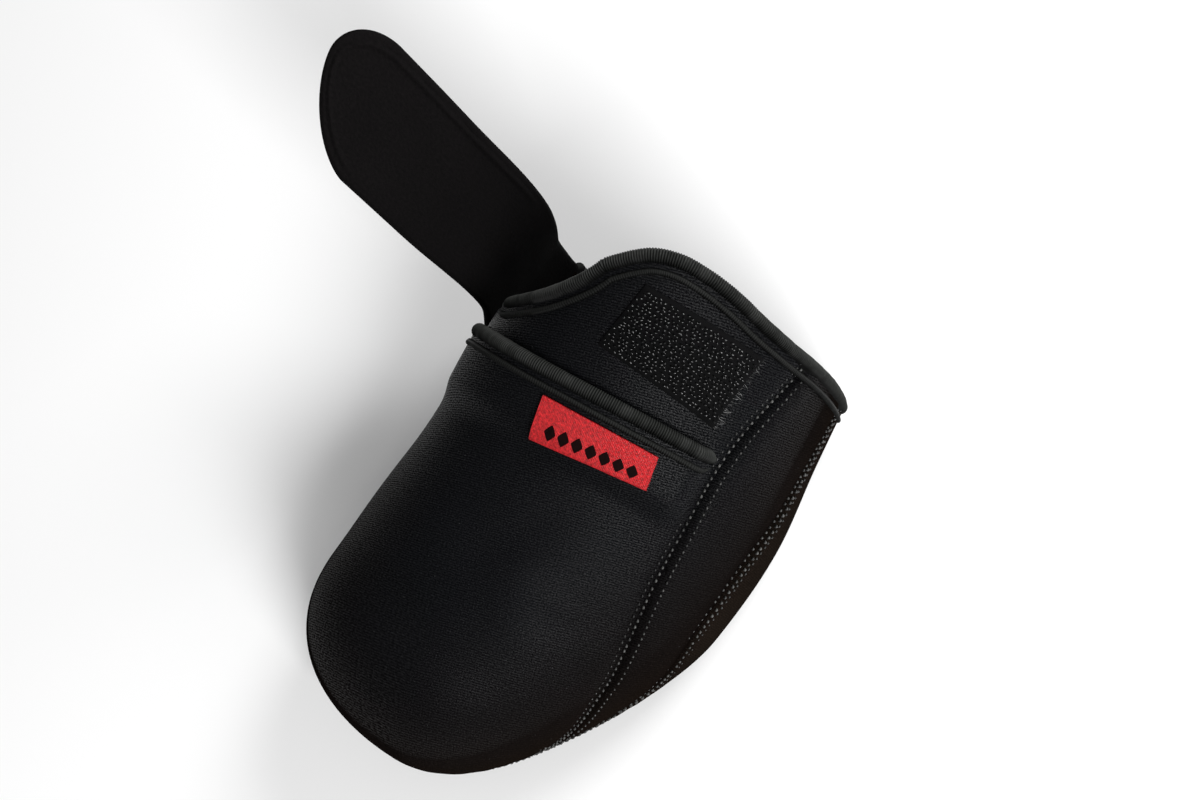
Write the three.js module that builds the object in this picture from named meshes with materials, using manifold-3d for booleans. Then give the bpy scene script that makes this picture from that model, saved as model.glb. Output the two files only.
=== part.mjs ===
// Toe cover for a left cycling shoe, in millimetres, +Z up.
// The toe points to -Y, the outer side of the foot is +X and the big-toe side is -X.
// The origin lies on the floor, under the flat spot of the sole at the front.
import * as THREE from "three";
import { mergeVertices } from "three/addons/utils/BufferGeometryUtils.js";
import Module from "manifold-3d";

const wasm = await Module();
wasm.setup();

// The shoe that the cover is cut for, measured inside the cover
const REACH = 150;            // toe tip to the crest of the collar, along the foot
const INNER_WIDTH = 95;       // across the ball
const INSTEP_HEIGHT = 84;     // sole to the underside of the panel at the collar's crest
const SIDE_HEIGHT = 12;       // sole to the widest line
const NOSE_MEDIAL = 38;       // length over which each side runs in to the toe tip
const NOSE_LATERAL = 70;
const NOSE_TOP = 30;
const NOSE_BOTTOM = 16;
const TOE_SPRING = 8;         // rise of the sole at the toe tip
const SPRING_LENGTH = 42;

// The cover's own sizes
const WALL = 3;               // foam sheet
const CLEARANCE = 0.3;        // left between two pieces that touch
const FLOOR_CUT = 0.4;        // how far the flat spots are let into the sole
const TUCK = 11;              // how far the instep panel runs in under the toe panel
const RAMP = 10;              // length over which the toe panel steps up over it
const BEAD_WIDTH = 5.5;       // rolled elastic binding
const BEAD_HEIGHT = 4.8;
const LIP_WIDTH = 2.4;        // the binding's flat edge, on the panel beside the roll
const LIP_HEIGHT = 0.9;
const LIP_CLEARANCE = 0.4;
const STRAP_WIDTH = 32;
const STRAP_LENGTH = 90;      // from where it leaves the wall to its tip
const STRAP_ROOT = 18;        // height of the part sewn along the wall
const STRAP_WALL = 2.8;
const STRAP_BEND = 41;        // length over which the open strap leans out
const STRAP_ANGLE = 51;       // lean of the open strap, degrees from upright
const STRAP_DROOP = 10;       // further lean per 100 mm, degrees
const STRAP_SWEEP = 0.18;     // how far it runs back per mm of its length
const STRAP_FLARE = 0.13;     // growth of its width per 100 mm of length
const STRAP_FORWARD = 2.2;    // how far its free front edge stands forward of its root
const STRAP_CLEAR = 8;        // length over which it stays behind the toe panel's binding
const FACING_INSET = 5;
const FACING_WALL = 0.8;
const PATCH_WALL = 1.4;
const LABEL_WALL = 0.7;
const CLEAT_LENGTH = 60;
const CLEAT_WIDTH = 52;
const CLEAT_CORNER = 16;
const CLEAT_FROM_TIP = 68;

// Places that are read off in other places
const ORIGIN_FROM_TIP = 52;
const TIP_X = -0.116 * INNER_WIDTH;
const LIFT = WALL + CLEARANCE;
const FLOOR_Z = WALL - FLOOR_CUT;
const HALF_GAP = CLEARANCE / 2;

// Sections of the last: place along the foot as a share of REACH, half widths from the toe tip's
// line as shares of INNER_WIDTH, top as a share of INSTEP_HEIGHT, widest line as a share of
// SIDE_HEIGHT, and how square each upper quarter is (2 is an ellipse)
const LAST = [
  { at: 0.000, medial: 0.518, lateral: 0.472, top: 0.536, side: 1.50, squareMedial: 2.2, squareLateral: 2.1 },
  { at: 0.133, medial: 0.480, lateral: 0.481, top: 0.571, side: 1.25, squareMedial: 2.3, squareLateral: 2.1 },
  { at: 0.267, medial: 0.446, lateral: 0.524, top: 0.607, side: 1.08, squareMedial: 2.4, squareLateral: 2.1 },
  { at: 0.467, medial: 0.402, lateral: 0.602, top: 0.667, side: 1.00, squareMedial: 2.4, squareLateral: 2.1 },
  { at: 0.667, medial: 0.366, lateral: 0.635, top: 0.762, side: 1.00, squareMedial: 2.4, squareLateral: 2.1 },
  { at: 0.833, medial: 0.332, lateral: 0.615, top: 0.881, side: 1.00, squareMedial: 2.3, squareLateral: 2.1 },
  { at: 1.000, medial: 0.299, lateral: 0.599, top: 1.000, side: 1.00, squareMedial: 2.2, squareLateral: 2.1 },
  { at: 1.167, medial: 0.266, lateral: 0.577, top: 1.095, side: 1.00, squareMedial: 2.2, squareLateral: 2.1 },
];
const SOLE_SQUARE = 4;
const NOSE_ROUND_MEDIAL = 2.13;
const NOSE_ROUND_LATERAL = 1.87;
const NOSE_ROUND_TOP = 2.1;
const NOSE_ROUND_BOTTOM = 2;

// Height of the seam between sole panel and upper, as shares of SIDE_HEIGHT
const SOLE_SEAM = [
  { at: 0.00, medial: 1.04, lateral: 1.04 },
  { at: 0.27, medial: 0.92, lateral: 1.10 },
  { at: 0.32, medial: 0.87, lateral: 1.35 },
  { at: 0.37, medial: 0.81, lateral: 1.82 },
  { at: 0.44, medial: 0.77, lateral: 2.40 },
  { at: 0.52, medial: 0.73, lateral: 2.54 },
  { at: 0.62, medial: 0.73, lateral: 2.56 },
  { at: 0.70, medial: 0.73, lateral: 2.32 },
  { at: 0.80, medial: 0.76, lateral: 1.98 },
  { at: 0.90, medial: 0.81, lateral: 1.62 },
  { at: 1.17, medial: 0.83, lateral: 1.40 },
];

// The seam between the instep panel and the side panel: place along the foot, degrees round
const TOP_SEAM = [
  { at: 0.60, round: 44.8 },
  { at: 0.72, round: 44.3 },
  { at: 0.79, round: 41.6 },
  { at: 0.85, round: 38.2 },
  { at: 0.92, round: 34.0 },
  { at: 1.17, round: 24.0 },
];

// Middle of the toe panel's binding: degrees round the section, place along the foot
const TOE_EDGE = [
  { round: 40, at: 0.730 },
  { round: 105, at: 0.730 },
  { round: 140, at: 0.735 },
  { round: 165, at: 0.740 },
  { round: 200, at: 0.740 },
];

// Middle of the collar's binding, from the outer side's sole over the instep to the big-toe side
const COLLAR_EDGE = [
  { round: -165, at: 0.970 },
  { round: -90, at: 0.967 },
  { round: -40, at: 0.966 },
  { round: 0, at: 0.960 },
  { round: 25, at: 0.957 },
  { round: 40, at: 0.955 },
  { round: 49, at: 0.959 },
  { round: 58, at: 0.969 },
  { round: 67, at: 0.975 },
  { round: 74, at: 0.974 },
  { round: 81, at: 0.960 },
  { round: 87, at: 0.932 },
  { round: 93, at: 0.897 },
  { round: 101, at: 0.862 },
  { round: 109, at: 0.835 },
  { round: 118, at: 0.815 },
  { round: 127, at: 0.802 },
  { round: 136, at: 0.797 },
  { round: 160, at: 0.795 },
];

// Corners of the hook patch and of the folded label, on the panel that carries them
const HOOK_PATCH = {
  frontOuter: { round: 51.9, at: 0.775 }, frontInner: { round: 83.8, at: 0.801 },
  rearOuter: { round: 46.6, at: 0.915 }, rearInner: { round: 79.1, at: 0.919 },
};
const LABEL = {
  frontOuter: { round: 60.6, at: 0.634 }, frontInner: { round: 89.2, at: 0.612 },
  rearOuter: { round: 61.2, at: 0.692 }, rearInner: { round: 90.3, at: 0.692 },
};

const RAD = Math.PI / 180;
const ramp = (t) => { const s = Math.min(Math.max(t, 0), 1); return s * s * (3 - 2 * s); };
const mix = (a, b, t) => a + (b - a) * t;

// A smooth curve through a table's rows
function read(table, along, key, value) {
  const n = table.length;
  const x = Math.min(Math.max(value, table[0][along]), table[n - 1][along]);
  const step = (i) => table[i + 1][along] - table[i][along];
  const rise = (i) => (table[i + 1][key] - table[i][key]) / step(i);
  const slope = (i) => {
    if (i === 0) return rise(0);
    if (i === n - 1) return rise(n - 2);
    const before = step(i - 1);
    const after = step(i);
    return (before * rise(i) + after * rise(i - 1)) / (before + after);
  };
  let i = 0;
  while (i < n - 2 && x > table[i + 1][along]) i += 1;
  const h = step(i);
  const s = (x - table[i][along]) / h;
  return (1 + 2 * s) * (1 - s) ** 2 * table[i][key] + s * (1 - s) ** 2 * h * slope(i)
    + s * s * (3 - 2 * s) * table[i + 1][key] + s * s * (s - 1) * h * slope(i + 1);
}

// Share of full size that a side has at a distance from the toe tip
function nose(fromTip, length, round) {
  const s = Math.min(Math.max(1 - fromTip / length, 0), 1);
  return (1 - s ** round) ** (1 / round);
}

// Point of the last: degrees round the section (0 outer side, 90 top, 180 big-toe side, 270 sole)
function lastPoint(round, fromTip) {
  const at = fromTip / REACH;
  const c = Math.cos(round * RAD);
  const s = Math.sin(round * RAD);
  const wideZ = SIDE_HEIGHT * read(LAST, "at", "side", at);
  const half = c >= 0
    ? INNER_WIDTH * read(LAST, "at", "lateral", at) * nose(fromTip, NOSE_LATERAL, NOSE_ROUND_LATERAL)
    : INNER_WIDTH * read(LAST, "at", "medial", at) * nose(fromTip, NOSE_MEDIAL, NOSE_ROUND_MEDIAL);
  const spring = TOE_SPRING * Math.max(1 - fromTip / SPRING_LENGTH, 0) ** 2;
  const tall = s >= 0
    ? (INSTEP_HEIGHT * read(LAST, "at", "top", at) - wideZ) * nose(fromTip, NOSE_TOP, NOSE_ROUND_TOP)
    : (wideZ - spring) * nose(fromTip, NOSE_BOTTOM, NOSE_ROUND_BOTTOM);
  const upperSquare = c >= 0 ? "squareLateral" : "squareMedial";
  const square = s >= 0 ? read(LAST, "at", upperSquare, at) : SOLE_SQUARE;
  const r = (Math.abs(c) ** square + Math.abs(s) ** square) ** (-1 / square);
  return new THREE.Vector3(TIP_X + half * r * c, fromTip - ORIGIN_FROM_TIP, FLOOR_Z + wideZ + tall * r * s);
}

// The last's outward normal
function lastNormal(round, fromTip) {
  const a = Math.max(fromTip, 0.02);
  const across = lastPoint(round + 0.4, a).sub(lastPoint(round - 0.4, a));
  const along = lastPoint(round, a + 0.01).sub(lastPoint(round, a - 0.01));
  return along.cross(across).normalize();
}

// Point at a height off the last
function offLast(round, fromTip, off) {
  return lastPoint(round, Math.max(fromTip, 0.02)).addScaledVector(lastNormal(round, fromTip), off);
}

const topSeam = (fromTip) => read(TOP_SEAM, "at", "round", fromTip / REACH);
const toeEdge = (round) => REACH * read(TOE_EDGE, "round", "at", round);
const collarEdge = (round) => REACH * read(COLLAR_EDGE, "round", "at", round);
const RAMP_START = toeEdge(90) - BEAD_WIDTH / 2 - TUCK - RAMP;
const RAISE_OUTER = { from: 46, over: 8 };
const RAISE_MEDIAL = { to: 163, over: 20 };

// How far the toe panel is lifted off the last by the instep panel that lies under its edge
function lift(round, fromTip) {
  return LIFT * ramp((fromTip - RAMP_START) / RAMP) * ramp((round - RAISE_OUTER.from) / RAISE_OUTER.over)
    * ramp((RAISE_MEDIAL.to - round) / RAISE_MEDIAL.over);
}

// A closed solid from points and triangles, turned the right way out
function solid(points, faces) {
  let volume = 0;
  for (const [i, j, k] of faces) volume += points[i].dot(new THREE.Vector3().crossVectors(points[j], points[k]));
  const triVerts = new Uint32Array(faces.flatMap(([i, j, k]) => (volume > 0 ? [i, j, k] : [i, k, j])));
  const vertProperties = new Float32Array(points.flatMap((p) => [p.x, p.y, p.z]));
  return new wasm.Manifold(new wasm.Mesh({ numProp: 3, vertProperties, triVerts }));
}

function solidFromGeometry(source) {
  const bare = source.index ? source.clone() : source;
  bare.deleteAttribute("normal");
  bare.deleteAttribute("uv");
  const merged = mergeVertices(bare, 1e-4);
  return new wasm.Manifold(new wasm.Mesh({
    numProp: 3,
    vertProperties: new Float32Array(merged.attributes.position.array),
    triVerts: new Uint32Array(merged.index.array),
  }));
}

// Two matching sheets of points joined round their four edges
function slab(across, along, inner, outer) {
  const points = [];
  const faces = [];
  const layer = (across + 1) * (along + 1);
  const index = (side, i, j) => side * layer + j * (across + 1) + i;
  for (const sheet of [inner, outer]) {
    for (let j = 0; j <= along; j += 1) {
      for (let i = 0; i <= across; i += 1) points.push(sheet(i / across, j / along));
    }
  }
  const quad = (a, b, c, d) => faces.push([a, b, c], [a, c, d]);
  for (let j = 0; j < along; j += 1) {
    for (let i = 0; i < across; i += 1) {
      quad(index(0, i, j), index(0, i, j + 1), index(0, i + 1, j + 1), index(0, i + 1, j));
      quad(index(1, i, j), index(1, i + 1, j), index(1, i + 1, j + 1), index(1, i, j + 1));
    }
  }
  for (let i = 0; i < across; i += 1) {
    quad(index(0, i, 0), index(0, i + 1, 0), index(1, i + 1, 0), index(1, i, 0));
    quad(index(0, i + 1, along), index(0, i, along), index(1, i, along), index(1, i + 1, along));
  }
  for (let j = 0; j < along; j += 1) {
    quad(index(0, 0, j + 1), index(0, 0, j), index(1, 0, j), index(1, 0, j + 1));
    quad(index(0, across, j + 1), index(1, across, j + 1), index(1, across, j), index(0, across, j));
  }
  return solid(points, faces);
}

// A patch of sheet on the last: place(u, v) gives round and fromTip, off gives its two heights
function patch(across, along, place, low, high) {
  const height = (value, spot) => (typeof value === "function" ? value(spot) : value);
  const sheet = (value) => (u, v) => {
    const spot = place(u, v);
    return offLast(spot.round, spot.fromTip, height(value, spot));
  };
  return slab(across, along, sheet(low), sheet(high));
}

// Rows along the foot, close together round the toe, then in even steps to each of the given places
function rowsAlong(spans) {
  const rows = [];
  const noseRows = 9;
  for (let i = 1; i <= noseRows; i += 1) rows.push(NOSE_MEDIAL * (1 - Math.cos((i / noseRows) * 90 * RAD)));
  for (const { to, steps } of spans) {
    const from = rows[rows.length - 1];
    for (let i = 1; i <= steps; i += 1) rows.push(mix(from, to, i / steps));
  }
  return rows;
}

// Columns round the section in even steps between each two of the given degrees
function columnsRound(spans) {
  const columns = [];
  for (const { from, to, step } of spans) {
    for (let q = from; q < to; q += step) columns.push(q);
  }
  return columns;
}
const UPPER_COLUMNS = columnsRound([
  { from: -30, to: 30, step: 10 }, { from: 30, to: 180, step: 6 },
  { from: 180, to: 210, step: 10 }, { from: 210, to: 330, step: 12 },
]);
const SOLE_COLUMNS = columnsRound([
  { from: -42, to: 30, step: 8 }, { from: 30, to: 168, step: 23 },
  { from: 168, to: 222, step: 8 }, { from: 222, to: 318, step: 12 },
]);

// The whole last, swollen by a height that may differ from place to place
function swollenLast(off, end, rows, columns) {
  const points = [lastPoint(90, 0)];
  points[0].y -= off(90, 0);
  for (const fromTip of rows) {
    for (const round of columns) points.push(offLast(round, fromTip, off(round, fromTip)));
  }
  const m = columns.length;
  const index = (row, i) => 1 + row * m + (i % m);
  const faces = [];
  for (let i = 0; i < m; i += 1) {
    faces.push([0, index(0, i + 1), index(0, i)]);
    for (let row = 0; row + 1 < rows.length; row += 1) {
      faces.push([index(row, i), index(row, i + 1), index(row + 1, i + 1)]);
      faces.push([index(row, i), index(row + 1, i + 1), index(row + 1, i)]);
    }
  }
  const last = rows.length - 1;
  const middle = points.length;
  points.push(new THREE.Vector3(TIP_X, end - ORIGIN_FROM_TIP, FLOOR_Z + INSTEP_HEIGHT / 2));
  for (let i = 0; i < m; i += 1) faces.push([middle, index(last, i), index(last, i + 1)]);
  return solid(points, faces);
}

// A section swept along an edge of the cover: place(round) gives fromTip, off and whether it has a lip
function sweep(place, rounds, section) {
  const spots = rounds.map((round) => ({ round, ...place(round) }));
  const count = spots.length - 1;
  const middles = spots.map((s) => offLast(s.round, s.fromTip, s.off));
  const points = [];
  const m = section(true).length;
  middles.forEach((middle, k) => {
    const run = middles[Math.min(k + 1, count)].clone().sub(middles[Math.max(k - 1, 0)]).normalize();
    const out = lastNormal(spots[k].round, spots[k].fromTip);
    const back = new THREE.Vector3().crossVectors(run, out).normalize();
    out.crossVectors(back, run).normalize();
    for (const [along, up] of section(spots[k].lip)) {
      points.push(middle.clone().addScaledVector(back, along).addScaledVector(out, up));
    }
  });
  const faces = [];
  for (let k = 0; k < count; k += 1) {
    for (let i = 0; i < m; i += 1) {
      const a = k * m + i;
      const b = k * m + ((i + 1) % m);
      faces.push([a, b, b + m], [a, b + m, a + m]);
    }
  }
  const cap = (k) => {
    const outline = section(spots[k].lip).map(([x, y]) => new THREE.Vector2(x, y));
    return THREE.ShapeUtils.triangulateShape(outline, []);
  };
  for (const [i, j, k] of cap(0)) faces.push([i, k, j]);
  for (const triangle of cap(count)) faces.push(triangle.map((i) => count * m + i));
  return solid(points, faces);
}

// Section of the rolled binding: along the foot towards the heel, and outwards
const BEAD_SIDES = 8;
const rollPoint = (turn, grow) => [
  (BEAD_WIDTH / 2 + grow) * Math.cos(turn * RAD),
  (BEAD_HEIGHT / 2 + grow) * Math.sin(turn * RAD),
];
const bead = (grow) => () => Array.from({ length: BEAD_SIDES }, (_, i) => rollPoint(i * 360 / BEAD_SIDES, grow));

// The roll with its flat lip, which lies on the panel and ends in a thin ridge
function bindingSection(hasLip) {
  const low = WALL - BEAD_HEIGHT / 2 + LIP_CLEARANCE;
  const high = low + LIP_HEIGHT;
  const side = -BEAD_WIDTH / 2;
  const lip = [
    { turn: 152, point: [side - 0.2, high - 0.45] },
    { turn: 160, point: [side - 0.9, high] },
    { turn: 168, point: [side - LIP_WIDTH, high - 0.25] },
    { turn: 176, point: [side - LIP_WIDTH, low] },
    { turn: 184, point: [side + 0.15, low] },
    { turn: 196, point: [side + 0.3, -BEAD_HEIGHT / 5] },
  ];
  const edge = lip.map(({ turn, point }) => (hasLip ? point : rollPoint(turn, 0)));
  const roll = [270, 315, 0, 45, 90, 135].map((turn) => rollPoint(turn, 0));
  return [...roll, ...edge, rollPoint(225, 0)];
}

// Degrees at which the bindings' sections stand
const TOE_BINDING_FROM = 46.3;
const TOE_BINDING_TO = 186;
const toeBindingRounds = [TOE_BINDING_FROM, ...columnsRound([{ from: 48, to: TOE_BINDING_TO + 1, step: 6 }])];
const toeBindingPlace = (round) => {
  const fromTip = toeEdge(round);
  return { fromTip, off: lift(round, fromTip) + BEAD_HEIGHT / 2, lip: true };
};

// The collar's binding sits lower and has no lip under the sole, where the cover stands
const COLLAR_FROM = -165;
const COLLAR_TO = 143;
const LIP_END = -12;
const collarRounds = [
  ...columnsRound([{ from: COLLAR_FROM, to: LIP_END - 1, step: (LIP_END - COLLAR_FROM) / 25 }]),
  LIP_END - 0.2,
  ...columnsRound([{ from: LIP_END, to: COLLAR_TO + 1, step: (COLLAR_TO - LIP_END) / 26 }]),
];
const collarPlace = (round) => {
  const under = ramp((-round - 18) / 20);
  const low = WALL - FLOOR_CUT - BEAD_HEIGHT / 2 - 0.1;
  return { fromTip: collarEdge(round), off: mix(BEAD_HEIGHT / 2, low, under), lip: round >= LIP_END };
};

// Room for a binding's roll, a little longer than the roll at both ends
const END_ROOM = 0.4;
function roomFor(place, rounds) {
  const longer = [rounds[0] - END_ROOM, ...rounds.slice(1, -1), rounds[rounds.length - 1] + END_ROOM];
  return sweep(place, longer, bead(CLEARANCE));
}
const toeBindingRoom = roomFor(toeBindingPlace, toeBindingRounds);
const collarRoom = roomFor(collarPlace, collarRounds);

// Everything below, or above, the seam between sole panel and upper
function besideSoleSeam(shift, farZ) {
  const half = 0.6 * INNER_WIDTH;
  const seamAt = (u, v) => {
    const fromTip = mix(-20, REACH + 30, v);
    const x = mix(-120, 120, u);
    const medial = read(SOLE_SEAM, "at", "medial", fromTip / REACH);
    const lateral = read(SOLE_SEAM, "at", "lateral", fromTip / REACH);
    const z = FLOOR_Z + SIDE_HEIGHT * mix(medial, lateral, (x + half) / (2 * half)) + shift;
    return new THREE.Vector3(x, fromTip - ORIGIN_FROM_TIP, z);
  };
  return slab(10, 24, seamAt, (u, v) => seamAt(u, v).setZ(farZ));
}

const CUT_DEPTH = 12;

// Everything behind an edge of the cover, between two lines round it
function behindEdge(fromRound, toRound, edge, count) {
  const place = (u, v) => {
    const start = mix(fromRound(0), toRound, u);
    const fromTip = mix(edge(start), REACH + 30, v);
    return { round: mix(fromRound(fromTip), toRound, u), fromTip };
  };
  return patch(count, 8, place, -CUT_DEPTH, CUT_DEPTH);
}

// The wall all round: the last swollen to the cover's outside, less the last itself
const COVER_END = REACH + 8;
function wallAround(raise, spans, columns) {
  const outerRows = rowsAlong([...spans, { to: COVER_END, steps: 6 }]);
  const innerRows = rowsAlong([...spans, { to: COVER_END + 6, steps: 6 }]);
  const outside = swollenLast((round, fromTip) => WALL + raise(round, fromTip), COVER_END, outerRows, columns);
  return outside.subtract(swollenLast(raise, COVER_END + 6, innerRows, columns));
}
const seamHalfGap = HALF_GAP / (RAD * INNER_WIDTH / 2);
const FAR = 200;
const seamPlace = toeEdge(TOE_BINDING_FROM);

// Toe panel and side panel: one hollow form, open at the collar, over the instep and underneath
function upperSolid() {
  const spans = [
    { to: RAMP_START, steps: 5 }, { to: RAMP_START + RAMP, steps: 5 }, { to: toeEdge(90), steps: 2 },
  ];
  const instepRoom = behindEdge((a) => topSeam(Math.max(a, seamPlace)) - seamHalfGap, 205, toeEdge, 27);
  return wallAround(lift, spans, UPPER_COLUMNS)
    .subtract(besideSoleSeam(HALF_GAP, -FAR))
    .subtract(instepRoom)
    .subtract(behindEdge(() => -60, 60, collarEdge, 20))
    .subtract(toeBindingRoom)
    .subtract(collarRoom);
}

// The tray under the foot, with an opening for the shoe's cleat
function solePanelSolid() {
  const shape = new THREE.Shape();
  const x = CLEAT_WIDTH / 2 - CLEAT_CORNER;
  const y = CLEAT_LENGTH / 2 - CLEAT_CORNER;
  shape.absarc(x, y, CLEAT_CORNER, 0, 90 * RAD);
  shape.absarc(-x, y, CLEAT_CORNER, 90 * RAD, 180 * RAD);
  shape.absarc(-x, -y, CLEAT_CORNER, 180 * RAD, 270 * RAD);
  shape.absarc(x, -y, CLEAT_CORNER, 270 * RAD, 360 * RAD);
  const cleat = new THREE.ExtrudeGeometry(shape, { depth: 20, bevelEnabled: false, curveSegments: 6 });
  cleat.translate(0, CLEAT_FROM_TIP + CLEAT_LENGTH / 2 - ORIGIN_FROM_TIP, -10);
  const floor = new THREE.BoxGeometry(2 * FAR, 2 * FAR, FAR).translate(0, 0, -FAR / 2);
  return wallAround(() => 0, [{ to: toeEdge(90), steps: 6 }], SOLE_COLUMNS)
    .subtract(besideSoleSeam(-HALF_GAP, FAR))
    .subtract(behindEdge(() => -205, 60, collarEdge, 44))
    .subtract(solidFromGeometry(floor))
    .subtract(solidFromGeometry(cleat))
    .subtract(collarRoom);
}

// The panel over the instep, sewn in under the toe panel
const INSTEP_MEDIAL_ROUND = 142;
function instepPanelSolid() {
  const front = toeEdge(90) - BEAD_WIDTH / 2 - TUCK + 1;
  const rearRound = topSeam(collarEdge(topSeam(REACH)));
  const place = (u, v) => {
    const fromTip = mix(front, collarEdge(mix(rearRound - 3, INSTEP_MEDIAL_ROUND, u)), v);
    return { round: mix(mix(topSeam(front), rearRound, v) - 3, INSTEP_MEDIAL_ROUND, u), fromTip };
  };
  const sideRoom = (u, v) => {
    const fromTip = mix(seamPlace, REACH + 30, v);
    return { round: mix(10, topSeam(fromTip) + seamHalfGap, u), fromTip };
  };
  const frontCorner = (u, v) => ({
    round: mix(10, RAISE_OUTER.from + RAISE_OUTER.over + 1, u),
    fromTip: mix(60, seamPlace + 0.01, v),
  });
  return patch(18, 8, place, 0, WALL)
    .subtract(patch(6, 8, sideRoom, -CUT_DEPTH, CUT_DEPTH))
    .subtract(patch(6, 3, frontCorner, -CUT_DEPTH, CUT_DEPTH))
    .subtract(toeBindingRoom)
    .subtract(collarRoom);
}

// The open strap: up along the big-toe side's wall, then leaning out, seen along its middle layer
const STRAP_LEAVES = { round: 164.7, off: 4.5 };
const STRAP_ROOT_ROUND = 188.5;
const STRAP_FROM_TIP = REACH * TOE_EDGE[3].at + BEAD_WIDTH / 2 + 0.5;
function strapMiddle(along, across) {
  const fromTip = STRAP_FROM_TIP + across;
  if (along < 0) {
    const t = -along / STRAP_ROOT;
    const off = mix(STRAP_LEAVES.off, STRAP_WALL / 2 + 0.2, ramp(t));
    return offLast(mix(STRAP_LEAVES.round, STRAP_ROOT_ROUND, t), fromTip, off);
  }
  const point = offLast(STRAP_LEAVES.round, fromTip, STRAP_LEAVES.off);
  const rise = offLast(STRAP_LEAVES.round - 0.5, fromTip, STRAP_LEAVES.off)
    .sub(offLast(STRAP_LEAVES.round + 0.5, fromTip, STRAP_LEAVES.off));
  const first = Math.atan2(-rise.x, rise.z) / RAD;
  const steps = 40;
  for (let i = 0; i < steps; i += 1) {
    const s = ((i + 0.5) / steps) * along;
    const lean = first + (STRAP_ANGLE - first) * ramp(s / STRAP_BEND) + STRAP_DROOP * (s / 100) ** 2;
    point.x -= Math.sin(lean * RAD) * along / steps;
    point.z += Math.cos(lean * RAD) * along / steps;
  }
  const forward = STRAP_FORWARD * ramp((along - STRAP_CLEAR) / STRAP_BEND) * (1 - across / (2 * STRAP_WIDTH));
  point.y += STRAP_SWEEP * along + STRAP_FLARE * across * along / 100 - forward;
  return point;
}

// Point off the strap's middle layer, towards its inner face
function offStrap(along, across, off) {
  const step = 0.2;
  const lengthwise = strapMiddle(along + step, across).sub(strapMiddle(along - step, across));
  const crosswise = strapMiddle(along, across + step).sub(strapMiddle(along, across - step));
  return strapMiddle(along, across).addScaledVector(crosswise.cross(lengthwise).normalize(), off);
}

// The strap's rounded tip: longest two thirds of the way across, with a flatter front corner
const TIP_CREST = 0.66;
const TIP_DEPTH = { front: 21, rear: 15 };
function strapEnd(across) {
  const share = across / STRAP_WIDTH;
  const front = share < TIP_CREST;
  const t = Math.min(front ? (TIP_CREST - share) / TIP_CREST : (share - TIP_CREST) / (1 - TIP_CREST), 1);
  const round = front ? 1.6 : 2;
  return STRAP_LENGTH - (front ? TIP_DEPTH.front : TIP_DEPTH.rear) * (1 - (1 - t ** round) ** (1 / round));
}

function strapSheet(start, inset, low, high, along) {
  const place = (u, v) => {
    const across = mix(inset, STRAP_WIDTH - inset, (1 - Math.cos(u * 180 * RAD)) / 2);
    return [mix(start, strapEnd(mix(0, STRAP_WIDTH, (across - inset) / (STRAP_WIDTH - 2 * inset))) - inset, v), across];
  };
  return slab(10, along, (u, v) => offStrap(...place(u, v), low), (u, v) => offStrap(...place(u, v), high));
}

const strapSolid = () => strapSheet(-STRAP_ROOT, 0, -STRAP_WALL / 2, STRAP_WALL / 2, 18)
  .subtract(besideSoleSeam(HALF_GAP, -FAR));
const facingSolid = () => {
  const low = STRAP_WALL / 2 + CLEARANCE;
  return strapSheet(STRAP_BEND / 2, FACING_INSET, low, low + FACING_WALL, 9);
};

// A flat piece laid on a panel between four corners
function laidOn(corners, across, along, low, high) {
  const place = (u, v) => ({
    round: mix(mix(corners.frontOuter.round, corners.frontInner.round, u),
      mix(corners.rearOuter.round, corners.rearInner.round, u), v),
    fromTip: REACH * mix(mix(corners.frontOuter.at, corners.frontInner.at, u),
      mix(corners.rearOuter.at, corners.rearInner.at, u), v),
  });
  return patch(across, along, place, low, high);
}
const hookPatchSolid = () => laidOn(HOOK_PATCH, 6, 4, WALL + CLEARANCE, WALL + CLEARANCE + PATCH_WALL);
const labelSolid = () => laidOn(LABEL, 6, 6,
  (spot) => lift(spot.round, spot.fromTip) + WALL + LIP_CLEARANCE,
  (spot) => lift(spot.round, spot.fromTip) + WALL + LIP_CLEARANCE + LABEL_WALL);

const FOAM = { color: 0x17181b, roughness: 0.85, metalness: 0 };
const WEBBING = { color: 0x141416, roughness: 0.6, metalness: 0 };
const HOOKS = { color: 0x0e0e10, roughness: 0.7, metalness: 0 };
const SATIN = { color: 0xb0181c, roughness: 0.5, metalness: 0 };

function piece(name, body, finish) {
  const mesh = body.getMesh();
  const geometry = new THREE.BufferGeometry();
  geometry.setAttribute("position", new THREE.BufferAttribute(new Float32Array(mesh.vertProperties), 3));
  geometry.setIndex(new THREE.BufferAttribute(new Uint32Array(mesh.triVerts), 1));
  geometry.computeVertexNormals();
  const result = new THREE.Mesh(geometry, new THREE.MeshStandardMaterial(finish));
  result.name = name;
  return result;
}

const cover = new THREE.Group();
cover.add(
  piece("upper", upperSolid(), FOAM),
  piece("sole_panel", solePanelSolid(), FOAM),
  piece("instep_panel", instepPanelSolid(), FOAM),
  piece("strap", strapSolid(), FOAM),
  piece("strap_facing", facingSolid(), FOAM),
  piece("toe_binding", sweep(toeBindingPlace, toeBindingRounds, bindingSection), WEBBING),
  piece("collar_binding", sweep(collarPlace, collarRounds, bindingSection), WEBBING),
  piece("hook_patch", hookPatchSolid(), HOOKS),
  piece("label", labelSolid(), SATIN),
);

export default cover;
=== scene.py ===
import functools
import math

import bpy
import numpy as np
from bpy.props import FloatProperty, FloatVectorProperty, IntProperty, PointerProperty
from mathutils import Matrix, Vector, kdtree


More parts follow.
